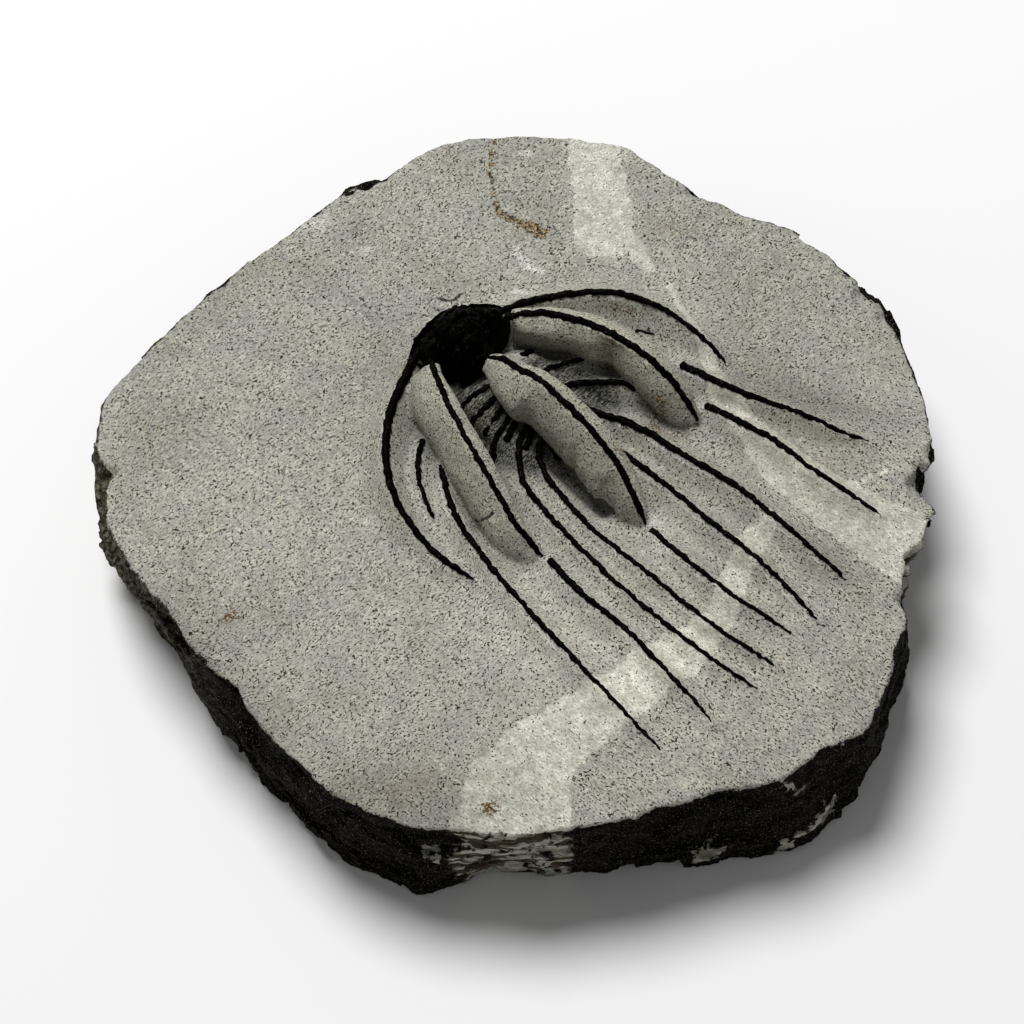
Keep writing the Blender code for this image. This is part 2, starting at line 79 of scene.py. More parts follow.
# Spines on their own ridges: radius, then points (x, y, h) from root to tip
RIDGE_SPINES = {
    "genal_spine_left": (0.76, [(-15.1, 20.8, 4), (-16.5, 17.4, 4), (-19, 10.5, 4), (-19.6, 4, 4),
        (-18.9, -1.4, 3.5), (-16.9, -6.4, 3), (-14.2, -10.5, 2.5), (-10.5, -14.3, 2), (-6, -17, 0.9)]),
    "genal_spine_right": (0.64, [(-1.4, 29.1, 4), (1.6, 30.4, 4), (6.8, 31.8, 4), (13, 32.6, 4),
        (18.4, 32, 4), (25.1, 29.1, 3.5), (31.1, 24.4, 2), (34.2, 20.7, 0.9)]),
    "side_spine_left": (0.48, [(-14, 6.8, 1.6), (-14.6, 2.8, 2.3), (-14.3, -1, 2.3),
        (-12.2, -6.7, 1.2)]),
    "fan_spine_1": (0.5, [(-11, 2.1, 2), (-10.4, -1.2, 2.2), (-8.7, -6.9, 2.5), (-5.2, -12.9, 2.5),
        (0.8, -21.1, 2.5), (10.1, -32.1, 2.5), (16.2, -39, 2), (22, -45.2, 0.8)]),
    "fan_spine_2": (0.52, [(5.8, -14.3, 2), (10.1, -19.8, 2.5), (16.4, -25.6, 2.5), (22, -31.9, 2.5),
        (27.4, -37.9, 1.5), (29.7, -40.7, 0.8)]),
    "fan_spine_3": (0.5, [(2.9, 8.6, 3.8), (1.3, 6.2, 3.2), (1, 4, 2.8), (2, -1.1, 2), (6, -7.1, 2.2),
        (12, -14.3, 2.5), (19.6, -22.1, 2.5), (29.1, -30.2, 2), (36.7, -35.4, 0.8)]),
    "fan_spine_4": (0.48, [(5, 6.5, 3.4), (4.1, 4.6, 3), (4.5, 2.3, 2.6), (6.3, -1.5, 2.5),
        (12, -8.7, 2.2), (20.3, -16.5, 2.5), (30.5, -25.6, 2.2), (39.4, -31.4, 0.8)]),
    "fan_spine_5": (0.46, [(21.4, -8.9, 1.5), (26.6, -14.5, 2.5), (32.7, -19.9, 2.4), (37.4, -23.2, 2),
        (42.1, -26.2, 0.8)]),
    "fan_spine_6": (0.5, [(15.9, 5.6, 1.4), (17.9, 3.9, 1.8), (24, -1.8, 2.5), (30.3, -7.8, 2.5),
        (36.5, -13.4, 2.5), (41.6, -18.6, 1.8), (46.1, -23.8, 0.8)]),
    "fan_spine_7": (0.6, [(10.8, 11.6, 3.2), (13.2, 10.9, 3.2), (19.4, 8.6, 3), (26.4, 3.6, 3),
        (34.6, -2, 3), (41.3, -8.2, 2.8), (47.4, -13.9, 2), (50.9, -17.1, 0.8)]),
    "fan_spine_8": (0.53, [(30.5, 12.9, 2), (35.5, 9.5, 3), (40.6, 6.2, 3), (45.6, 1.8, 3),
        (50.5, -1.8, 2.5), (57.3, -6.2, 0.8)]),
    "fan_spine_9": (0.6, [(26.9, 20.3, 2), (31.9, 16.9, 3), (38.3, 13.7, 3), (44.7, 11.3, 2.8),
        (51.1, 8.3, 2), (55.8, 7.2, 0.8)]),
    "hollow_spine_lower": (0.52, [(7, 14, 3.6), (9.3, 15.8, 3.6), (13, 16.4, 3.3), (17.5, 16.6, 2.6),
        (19.5, 15.4, 2.2)]),
    "hollow_spine_upper": (0.42, [(4, 16.8, 3.6), (5.9, 18.8, 3.5), (8.8, 20, 3.3), (11.4, 20.9, 2.8),
        (13.6, 20.6, 2.4)]),
}

# Fins: the spine on the crest, the edge of the left face and the shape of the right face.
# base gives (share of the length, h) of the underside: the middle fin's head end hangs free.
FINS = {
    "left": {
        "spine": (0.49, [(-12.4, 17.1, 7.6), (-12, 15.1, 8.3), (-10.5, 10.7, 9.5), (-8.8, 6.2, 10),
            (-4.5, -2, 9), (0, -9, 5.5), (2.9, -12, 3), (4.9, -13.7, 1.3)]),
        "left_edge": [(-16, 17.5, 1.5), (-15.8, 12.8, 1.5), (-14.1, 8.7, 1.3), (-12.3, 5.1, 1),
            (-9.3, -0.4, 0.6), (-5.4, -7.4, 0.4), (-2.6, -11.5, 0.3), (0.5, -13.4, 0.2),
            (4.2, -14.3, 0.1)],
        "base": [(0, -1.5), (1, -1.5)],
        "right_offset": 2, "undercut": 0.3, "blend": 1, "ragged": 0.1,
    },
    "middle": {
        "spine": (0.54, [(-3.7, 17.4, 9), (-1.4, 15.9, 11), (1.1, 13.3, 12.5), (5, 10, 13.5),
            (11.3, 3.8, 12), (16.2, -1.4, 8.5), (19.2, -6, 4.5), (20.5, -7.7, 1.4)]),
        "left_edge": [(-4.9, 16.6, 7.5), (-3.9, 15, 7.2), (-2.4, 11.8, 6.8), (0.2, 8.3, 6.2),
            (2.3, 7.8, 5.8), (4.1, 6.2, 5.2), (7.9, 2.4, 4), (10, 0.4, 3.4), (11.7, -2.6, 2.8),
            (14.4, -3.9, 2), (15.7, -5.1, 1.4), (16.2, -6.1, 0.4), (18, -7.3, 0), (20.2, -8, -0.3)],
        "base": [(0, 7), (0.1, 6), (0.22, 0.5), (0.3, -1.5), (1, -1.5)],
        "right_offset": 2.6, "undercut": 3.2, "blend": 0.45, "ragged": 0.4,
    },
    "right": {
        "spine": (0.6, [(0.2, 26.2, 7.2), (2, 26.3, 7.6), (6.6, 25.3, 9), (13.6, 22.2, 10),
            (20.1, 18.1, 9.5), (24.7, 14.7, 7), (28, 11.8, 3), (29, 10.6, 1.3)]),
        "left_edge": [(-0.6, 25.4, 5.4), (1.3, 24.3, 5.4), (5.3, 22.6, 5.4), (9.3, 21.6, 5.2),
            (12.5, 20.1, 5), (15.3, 19.5, 4.8), (16.5, 18.4, 4.6), (19.3, 15.5, 4), (21.2, 13.5, 3.2),
            (23.2, 11.5, 2.2), (26.3, 9.9, 0.8), (28.5, 10, 0.3)],
        "base": [(0, -1.5), (1, -1.5)],
        "right_offset": 2.8, "undercut": 1.6, "blend": 0.8, "ragged": 0.15,
    },
}

# The ribbed thorax lies over a low mound behind the head
MOUND_CENTRE = (3.4, 12.4)
MOUND_HALF_LENGTH = 11.5
MOUND_HALF_WIDTH = 9.0
MOUND_HEIGHT = 3.6
TAIL_BEARING = -45

# Corners broken off the upper rim: (x, y), reach and depth
RIM_CHIPS = [
    (-24.5, 58.5, 5.5, 1.3), (-33, 51.5, 2, 0.8), (31.5, 56.5, 3.5, 1.2), (54.5, 40.3, 3, 1),
    (58.2, 35.3, 3.6, 1.1), (61, 30, 3, 0.9), (65.6, 18.3, 1.2, 1.6), (66.2, 5.5, 1.8, 1.6),
    (64.6, 0.4, 3.2, 2), (60.6, -20, 2.2, 1.6), (-50.8, -29.5, 3.2, 1.4), (-64.5, 1.5, 3, 1.4),
    (49.5, -48.5, 6, 2.2), (-40.5, -41.5, 2.5, 1), (-9, -60, 3, 1.2),
]

# Grooves that the preparator's tool cut beside the fins: depth, half-width, plan route
TRENCHES = [
    (1.3, 1.9, [(4.4, 4.6), (8.2, 1.4), (11.2, -1.6), (14.2, -4.9)]),
    (0.7, 1.3, [(-9.3, -0.4), (-7.8, -3.8), (-5.4, -7.8), (-3, -11.1)]),
]


# Repeatable noise

# Layers of noise: height, size of the coarsest features, number of octaves, seed
SWELLS = (0.25, 22.0, 3, 11)
CHIP_EDGE = (0.3, 2.0, 2, 15)
FACE_GRAIN = (0.06, 1.7, 3, 21)
FIN_CHIPS = (0.13, 3.4, 2, 31)
FIN_GRAIN = (0.05, 0.9, 1, 35)
SIDE_GRAIN = (0.34, 3.2, 4, 61)
FIN_EDGE = (1.0, 1.6, 2, 71)
HEAD_GRAIN = (0.09, 0.8, 2, 91)
# Of a spine, whose number gives the seeds
SPINE_SWERVE = (0.1, 0.9, 1)
SPINE_LIFT = (0.08, 1.1, 1)
SPINE_LUMPS = (0.15, 0.62, 2)


def lattice(ix, iy, iz, seed):
    """Pseudo-random share from 0 to 1 for each whole-numbered point."""
    n = (ix.astype(np.int64) * 374761393 + iy.astype(np.int64) * 668265263
         + iz.astype(np.int64) * 1440662683 + seed * 1274126177) & 0xFFFFFFFF
    n = ((n ^ (n >> 13)) * 1103515245) & 0xFFFFFFFF
    n = ((n ^ (n >> 15)) * 668265263) & 0xFFFFFFFF
    return (n >> 8 & 0xFFFF) / 65535.0


def value_noise(x, y, z, seed):
    """Smooth noise from -1 to 1 with features one unit across."""
    x0, y0, z0 = np.floor(x), np.floor(y), np.floor(z)
    far = [f * f * (3 - 2 * f) for f in (x - x0, y - y0, z - z0)]
    total = 0.0
    for corner in product((0, 1), repeat=3):
        wx, wy, wz = (f if side else 1 - f for f, side in zip(far, corner))
        i, j, k = corner
        total = total + wx * wy * wz * lattice(x0 + i, y0 + j, z0 + k, seed)
    return 2 * total - 1


def uneven(x, y, z, layer):
    """A layer of noise at some points."""
    height, size, octaves, seed = layer
    total = 0.0
    for octave in range(octaves):
        scale = 2 ** octave / size
        total = total + 0.5 ** octave * value_noise(x * scale, y * scale, z * scale, seed + octave)
    return height * total


# Curves

SPLINE_STEPS = 24  # points between two given ones, before they are spaced evenly
TAPER_PLACES = [0.0, 0.1, 0.94, 1.0]  # shares of a spine's length where its taper changes
BLUNT_END = 0.5  # share of the tip's thickness at the very end


def around(table, bearings):
    """Values at some bearings, from a short table that closes on itself."""
    places, values = zip(*table)
    return np.interp(bearings, places, values, period=360)


def smooth_curve(points, spacing):
    """Evenly spaced points on a Catmull-Rom curve through the given ones."""
    p = np.array(points, float)
    p = np.vstack([2 * p[0] - p[1], p, 2 * p[-1] - p[-2]])
    steps = np.linspace(0, 1, SPLINE_STEPS, endpoint=False)[:, None]
    parts = []
    for a, b, c, d in zip(p, p[1:], p[2:], p[3:]):
        parts.append(0.5 * (
            2 * b + (c - a) * steps + (2 * a - 5 * b + 4 * c - d) * steps ** 2
            + (3 * b - a - 3 * c + d) * steps ** 3))
    fine = np.vstack(parts + [p[-2:-1]])
    lengths = np.linalg.norm(np.diff(fine, axis=0), axis=1)
    travelled = np.concatenate([[0], np.cumsum(lengths)])
    count = max(4, int(travelled[-1] / spacing) + 1)
    goals = np.linspace(0, travelled[-1], count)
    return np.stack([np.interp(goals, travelled, values) for values in fine.T], 1)


def unit(vectors):
    return vectors / np.linalg.norm(vectors, axis=1)[:, None]


def plan_frame(curve):
    """Unit plan vectors along a curve and to the animal's right of it."""
    along = unit(np.gradient(curve[:, :2], axis=0))
    return along, np.stack([-along[:, 1], along[:, 0]], 1)


def nearest_on(curve, x, y):
    """Index of the nearest curve point, offset to its right and distance beyond the ends."""
    along, right = plan_frame(curve)
    dx = x[..., None] - curve[:, 0]
    dy = y[..., None] - curve[:, 1]
    index = np.argmin(dx * dx + dy * dy, axis=-1)
    dx = x - curve[index, 0]
    dy = y - curve[index, 1]
    offset = dx * right[index, 0] + dy * right[index, 1]
    beyond = dx * along[index, 0] + dy * along[index, 1]
    at_end = index == len(curve) - 1
    beyond = np.where(index == 0, -beyond, np.where(at_end, beyond, 0.0))
    return index, offset, np.maximum(beyond, 0.0)


def in_reach(curve, x, y, margin):
    """Which values of x and which of y lie within a margin of a curve."""
    low, high = curve.min(axis=0) - margin, curve.max(axis=0) + margin
    return (x > low[0]) & (x < high[0]), (y > low[1]) & (y < high[1])


def taper(radius, count, tip, root=1.0):
    """Radii that grow from the root's share, fall evenly to the tip's and end bluntly."""
    shares = np.linspace(0, 1, count)
    return radius * np.interp(shares, TAPER_PLACES, [root, 1.0, tip, BLUNT_END * tip])


def grid_of(*axes):
    """Coordinates of all points of a grid."""
    return np.meshgrid(*axes, indexing="ij")


def turned(x, y, middle, bearing):
    """Plan offsets from a middle, along a bearing in degrees and to the left of it."""
    dx, dy = x - middle[0], y - middle[1]
    turn = math.radians(bearing)
    return (dx * math.cos(turn) + dy * math.sin(turn), dy * math.cos(turn) - dx * math.sin(turn))


def smooth_max(a, b, blend):
    mix = np.maximum(blend - np.abs(a - b), 0) / blend
    return np.maximum(a, b) + mix * mix * blend / 4


def smooth_min(a, b, blend):
    return -smooth_max(-a, -b, blend)


# The rock's distance field

GRID_LOW = (-72.0, -66.0, -1.05)
GRID_HIGH = (72.0, 72.0, 37.0)
CURVE_STEP = 0.3  # spacing of the points that curves are measured at
RIDGE_TIP, FIN_TIP = 0.58, 0.9  # thickness near a spine's tip, as a share of its full one
RIDGE_REACH = 7.0
RIDGE_SINK = 0.1  # rock crest below the spine's middle
RIDGE_LEAST = 0.3  # lowest crest
RIDGE_FOOT = (1.2, 0.9)  # foot: least width, and more for each mm of height
RIDGE_HOLLOWNESS = 1.45  # above 1 the flanks are concave
RIDGE_BLEND, MOUND_BLEND, FACE_BLEND = 0.7, 0.6, 0.8  # how widely they melt together
CHIP_STEEPNESS = 1.6  # above 1 a chip has a flat floor


def mound_height(x, y):
    along, across = turned(x, y, MOUND_CENTRE, TAIL_BEARING)
    reach = np.abs(along / MOUND_HALF_LENGTH) ** 3 + np.abs(across / MOUND_HALF_WIDTH) ** 3
    return np.where(reach < 1, MOUND_HEIGHT * np.sqrt(np.maximum(0, 1 - reach)), 1 - reach)


def near_curve(curve, x, y, margin):
    """The block of a plan grid around a curve, and what nearest_on finds there."""
    block = np.ix_(*in_reach(curve, x[:, 0], y[0], margin))
    return (block,) + nearest_on(curve, x[block], y[block])


def relief(xs, ys):
    """Height of the rock above the slab's face, without the fins."""
    x, y = grid_of(xs, ys)
    level = np.zeros_like(x)
    ridges = np.full(x.shape, -FAR)
    for radius, points in RIDGE_SPINES.values():
        curve = smooth_curve(points, CURVE_STEP)
        radii = taper(radius, len(curve), RIDGE_TIP)
        block, index, offset, beyond = near_curve(curve, x, y, RIDGE_REACH)
        crest = np.maximum(curve[index, 2] - RIDGE_SINK, RIDGE_LEAST)
        width = RIDGE_FOOT[0] + RIDGE_FOOT[1] * crest
        share = np.maximum(np.hypot(offset, beyond) - radii[index], 0) / width
        height = np.where(
            share < 1, crest * np.maximum(1 - share, 0) ** RIDGE_HOLLOWNESS, 1 - share)
        ridges[block] = smooth_max(ridges[block], height, RIDGE_BLEND)
    ridges = smooth_max(ridges, mound_height(x, y), MOUND_BLEND)
    ground = smooth_max(ridges, level, FACE_BLEND)
    for depth, half_width, route in TRENCHES:
        curve = smooth_curve(route, CURVE_STEP)
        block, index, offset, beyond = near_curve(curve, x, y, half_width)
        share = np.minimum(np.hypot(offset, beyond) / half_width, 1)
        ground[block] -= depth * (1 + np.cos(math.pi * share)) / 2
    border = uneven(x, y, level, CHIP_EDGE)
    for chip_x, chip_y, reach, depth in RIM_CHIPS:
        inside = 1 - np.hypot(x - chip_x, y - chip_y) / reach
        cut = np.clip(CHIP_STEEPNESS * (inside + border), 0, 1) * (inside > -CHIP_EDGE[0])
        ground -= depth * cut
    return ground + uneven(x, y, level, SWELLS) + uneven(x, y, level, FACE_GRAIN)


def section_distance(corners, s, h):
    """Distance of points (s, h) from closed polygons, one for each s, negative inside."""
    s = s[:, None]
    h = h[None, :]
    nearest = np.full((s.shape[0], h.shape[1]), 1e9)
    inside = np.zeros(nearest.shape, bool)
    for (s0, h0), (s1, h1) in zip(corners, corners[1:] + corners[:1]):
        s0, h0, s1, h1 = (np.asarray(v)[:, None] for v in (s0, h0, s1, h1))
        es, eh = s1 - s0, h1 - h0
        length2 = np.maximum(es * es + eh * eh, 1e-9)
        along = np.clip(((s - s0) * es + (h - h0) * eh) / length2, 0, 1)
        ds = s - s0 - along * es
        dh = h - h0 - along * eh
        nearest = np.minimum(nearest, ds * ds + dh * dh)
        crosses = (h0 > h) != (h1 > h)
        rise = np.where(np.abs(eh) < 1e-9, 1e-9, eh)
        inside ^= crosses & (s < s0 + (h - h0) / rise * es)
    distance = np.sqrt(nearest)
    return np.where(inside, -distance, distance)


# Left face of a fin, from its lower edge up: share of its height, share of its half-width
LEFT_FACE = [(0.14, 1), (0.32, 0.96), (0.52, 0.83), (0.7, 0.64), (0.86, 0.4)]
# Where its lower edge is ragged: share of the length, share of the raggedness
RAGGED_STRETCH = [(0.4, 0), (0.6, 1), (0.9, 1), (1, 0)]
RAGGED_RISE = 0.6  # a notch goes this far up for each mm inwards
CREST_HALF_WIDTH = 0.6
LEAST_FACE = (0.3, 0.5)  # least width and height of the left face
RIGHT_DROP = 0.45  # fall of the right face for each mm outwards
RIGHT_FOOT = 0.9  # how far out its foot lies, as a share of its edge
FIN_ENDS = (0.08, 0.94)  # shares of the length between which it swells and thins
LEAST_WALL = 0.1  # height of an edge above the underside
FIN_ROUNDING = 0.15
FIN_REACH = 7.5


def fin_corners(shape, crest):
    """Corners (s, h) of a fin's section at each point of its crest, lower left edge first."""
    count = len(crest)
    along, right = plan_frame(crest)
    edge = smooth_curve(shape["left_edge"], CURVE_STEP)
    # The left edge as seen across the crest at each of its points
    rel = edge[None, :, :2] - crest[:, None, :2]
    facing = np.argmin(np.abs((rel * along[:, None]).sum(-1)), axis=1)
    edge_s = (rel[np.arange(count), facing] * right).sum(-1)
    edge_h = edge[facing, 2]
    share = np.linspace(0, 1, count)
    fullness = np.sin(math.pi * np.clip(share, *FIN_ENDS)) ** 0.5
    zero = np.zeros(count)
    chips = uneven(np.arange(count) * CURVE_STEP, zero, zero, FIN_EDGE)
    ragged = shape["ragged"] * np.interp(share, *zip(*RAGGED_STRETCH))
    crest_h = crest[:, 2] - FIN_ROUNDING
    edge_s = np.minimum(edge_s + ragged * chips, -CREST_HALF_WIDTH - LEAST_FACE[0])
    edge_h = np.minimum(edge_h + RAGGED_RISE * ragged * chips, crest_h - LEAST_FACE[1])
    out = shape["right_offset"] * fullness
    base = np.interp(share, *zip(*shape["base"]))
    inner_s = edge_s + shape["undercut"] * fullness
    out_h = crest_h - RIGHT_DROP * out
    face = [(wide * edge_s, edge_h + up * (crest_h - edge_h)) for up, wide in LEFT_FACE]
    return [(inner_s, np.minimum(base, edge_h - LEAST_WALL)), (edge_s, edge_h)] + face + [
        (zero - CREST_HALF_WIDTH, crest_h), (zero + CREST_HALF_WIDTH, crest_h),
        (out, out_h), (RIGHT_FOOT * out, np.minimum(base, out_h - LEAST_WALL))]


def fin_field(shape, xs, ys, hs):
    """Distance to one fin, with the block of the grid that it fills."""
    crest = smooth_curve(shape["spine"][1], CURVE_STEP)
    corners = fin_corners(shape, crest)
    inside_x, inside_y = in_reach(crest, xs, ys, FIN_REACH)
    x, y = grid_of(xs[inside_x], ys[inside_y])
    index, offset, beyond = (found.ravel() for found in nearest_on(crest, x, y))
    section = section_distance([(s[index], h[index]) for s, h in corners], offset, hs)
    over = beyond[:, None]
    distance = np.where(over > 0, np.hypot(np.maximum(section, 0), over), section)
    place = x.ravel()[:, None], y.ravel()[:, None], hs[None, :] + 0 * over
    chips = uneven(*place, FIN_CHIPS) + uneven(*place, FIN_GRAIN)
    distance = distance - FIN_ROUNDING + chips
    block = np.ix_(inside_x, inside_y, np.ones(len(hs), bool))
    return block, distance.reshape(x.shape + (len(hs),))


SIDE_CIRCLE = 60.0  # mean radius, on which the side's facets are laid out
# Knobs on the broken side, and hollows in it: bearing, level, reach and height
SIDE_KNOBS = [
    (178.5, 12, 5.5, 1.2), (115, 17, 4, 2.5), (121.5, 18, 2, 1), (170, 12, 7, -0.9),
    (348.5, 15.5, 7, -2.7), (355.5, 15, 5, -1.8), (256.5, 1, 3, 1.3), (13, 18, 3, -0.7),
    (355.8, 21.5, 1.2, 1),
]
# Facets of the broken side: size, depth, share of that depth at the rim, seed
FACET_LAYERS = [(11.0, 1.3, 0.15, 41), (5.0, 0.7, 0.45, 51), (2.2, 0.3, 0.9, 56)]
FACET_SQUATNESS = 0.6  # height of a facet as a share of its width
FACET_TILT = 1.1
WORN_BAND = 2.0  # the side is smoother this near to the rim
SIDE_BULGE = 0.7
FLARE_HOLLOWNESS = 1.2  # above 1 the side is concave
RIM_BLEND = 0.3
BEARING_STEP = 0.25  # degrees


def facet_layer(a, z, size, seed):
    """Flat tilted cells over arc length a and level z, as a hammer leaves them."""
    columns = int(round(2 * math.pi * SIDE_CIRCLE / size))
    cell_a = a * columns / (2 * math.pi * SIDE_CIRCLE)
    cell_z = z / (size * FACET_SQUATNESS)
    best = np.full(a.shape, 1e9)
    chosen = np.zeros(a.shape)
    for i, j in product((-1, 0, 1), repeat=2):
        ca = np.floor(cell_a) + i
        cz = np.floor(cell_z) + j
        wrapped = np.mod(ca, columns)
        at_a, at_z, level, tilt_a, tilt_z = (
            lattice(wrapped, cz, np.full_like(ca, k), seed) for k in range(5))
        da = cell_a - ca - at_a
        dz = cell_z - cz - at_z
        away = da ** 2 + dz ** 2
        tilted = FACET_TILT * (tilt_a - 0.5) * da + FACET_TILT * (tilt_z - 0.5) * dz
        chosen = np.where(away < best, level - 0.5 + tilted, chosen)
        best = np.minimum(away, best)
    return chosen


def side_radius(bearings, zs):
    """Distance of the broken side from the slab's middle, over bearings and levels."""
    height = np.clip(zs / SLAB_THICKNESS, 0, 1)
    turns = np.radians(bearings)
    a, z = grid_of(turns * SIDE_CIRCLE, zs)
    worn = np.clip((SLAB_THICKNESS - z) / WORN_BAND, 0, 1)
    facets = sum(
        depth * (least + (1 - least) * worn) * facet_layer(a, z, size, seed)
        for size, depth, least, seed in FACET_LAYERS)
    ring_x = SIDE_CIRCLE * np.cos(turns)[:, None] + 0 * z
    ring_y = SIDE_CIRCLE * np.sin(turns)[:, None] + 0 * z
    rough = (0.5 + 0.5 * worn) * uneven(ring_x, ring_y, z, SIDE_GRAIN)
    bulge = SIDE_BULGE * np.sin(math.pi * height)[None, :]
    for bearing, level, reach, out in SIDE_KNOBS:
        apart = np.remainder(turns - math.radians(bearing) + math.pi, 2 * math.pi) - math.pi
        away = (SIDE_CIRCLE * apart[:, None]) ** 2 + (z - level) ** 2
        bulge = bulge + out * np.exp(-away / reach ** 2)
    flare = around(FOOT_FLARE, bearings)[:, None] * (1 - height[None, :]) ** FLARE_HOLLOWNESS
    return around(RIM, bearings)[:, None] + flare + bulge + facets + rough


def rock_field(xs, ys, zs, ground):
    """Distance to the whole rock at each point of the grid, negative inside."""
    x, y = grid_of(xs, ys)
    slope_x, slope_y = np.gradient(ground, VOXEL)
    steepness = 1 / np.sqrt(1 + slope_x ** 2 + slope_y ** 2)
    hs = zs - SLAB_THICKNESS
    field = (hs[None, None, :] - ground[:, :, None]) * steepness[:, :, None]
    for shape in FINS.values():
        block, fin = fin_field(shape, xs, ys, hs)
        field[block] = smooth_min(field[block], fin, shape["blend"])
    radii = side_radius(np.arange(0, 360, BEARING_STEP), zs)
    column = (np.degrees(np.arctan2(y, x)) % 360 / BEARING_STEP).astype(int) % len(radii)
    side = np.hypot(x, y)[:, :, None] - radii[column]
    field = smooth_max(field, side, RIM_BLEND)
    return np.maximum(field, -zs[None, None, :])


def new_object(name, data):
    made = bpy.data.objects.new(name, data)
    bpy.context.scene.collection.objects.link(made)
    return made


def mesh_object(name, points, faces):
    mesh = bpy.data.meshes.new(name)
    mesh.from_pydata(points, [], faces)
    mesh.validate()
    mesh.shade_smooth()
    return new_object(name, mesh)


def surface_object(name, field, corner, voxel, triangle_limit):
    """Mesh of a distance field's zero surface, thinned to a number of triangles."""
    outside = 3.0
    grid = openvdb.FloatGrid(background=outside)
    grid.copyFromArray(np.clip(field, -outside, outside).astype(np.float32))
    grid.transform = openvdb.createLinearTransform(voxelSize=voxel)
    points, triangles, quads = grid.convertToPolygons(isovalue=0.0, adaptivity=0.0)
    points = (points + np.array(corner)) * MM
    points[:, 2] = np.maximum(points[:, 2], 0.0)
    faces = [tuple(face[::-1]) for face in quads.tolist() + triangles.tolist()]
    piece = mesh_object(name, points.tolist(), faces)
    split = piece.modifiers.new("split", "TRIANGULATE")
    split.quad_method = "SHORTEST_DIAGONAL"
    thin = piece.modifiers.new("thin", "DECIMATE")
    thin.ratio = min(1.0, triangle_limit / (2 * len(quads) + len(triangles)))
    evaluated = piece.evaluated_get(bpy.context.evaluated_depsgraph_get())
    piece.data = bpy.data.meshes.new_from_object(evaluated)
    piece.modifiers.clear()
    piece.data.shade_smooth()
    return piece


def sample(grid, xs, ys, x, y):
    """Value of a plan grid at some points, by linear interpolation."""
    i = np.clip((x - xs[0]) / VOXEL, 0, len(xs) - 1.001)
    j = np.clip((y - ys[0]) / VOXEL, 0, len(ys) - 1.001)
    i0, j0 = i.astype(int), j.astype(int)
    fi, fj = i - i0, j - j0
    return (
        grid[i0, j0] * (1 - fi) * (1 - fj) + grid[i0 + 1, j0] * fi * (1 - fj)
        + grid[i0, j0 + 1] * (1 - fi) * fj + grid[i0 + 1, j0 + 1] * fi * fj)


# Markings of the rock, as values at its vertices

# Pale calcite veins: points (x, y) of the middle line with the half-width there
VEINS = [
    [(13.4, 68, 4.4), (13.6, 62, 4.4), (14.4, 56, 4.6), (14.9, 50, 4.9), (14.9, 46.8, 5)],
    [(18.6, 46, 1.6), (20.9, 41.2, 1.3), (22.6, 39.3, 0.9)],
    [(25, 37.2, 0.4), (28.1, 29.5, 0.5), (30.9, 23.4, 1), (32.9, 14.9, 2), (36.8, 9.3, 2.4),
     (42.8, 2.1, 3.6), (48.5, -2.4, 4.4), (55.2, -7.3, 5.4), (64, -13, 6.5)],
    [(50, -2, 0.6), (56.5, 1.5, 0.4), (61, 3, 0.2)],
    [(-0.2, -66, 9.6), (-0.2, -59.5, 9.2), (0.8, -51.4, 7.8), (3.3, -46.7, 6.3), (8.2, -42, 4.9),
     (15.3, -37.2, 4.3), (20.3, -33, 4.2), (26.5, -29.1, 3.4), (31.6, -23.9, 2.3), (34.1, -16.4, 2.2),
     (37.2, -10.1, 2.2), (39.8, -6.9, 1.4)],
]

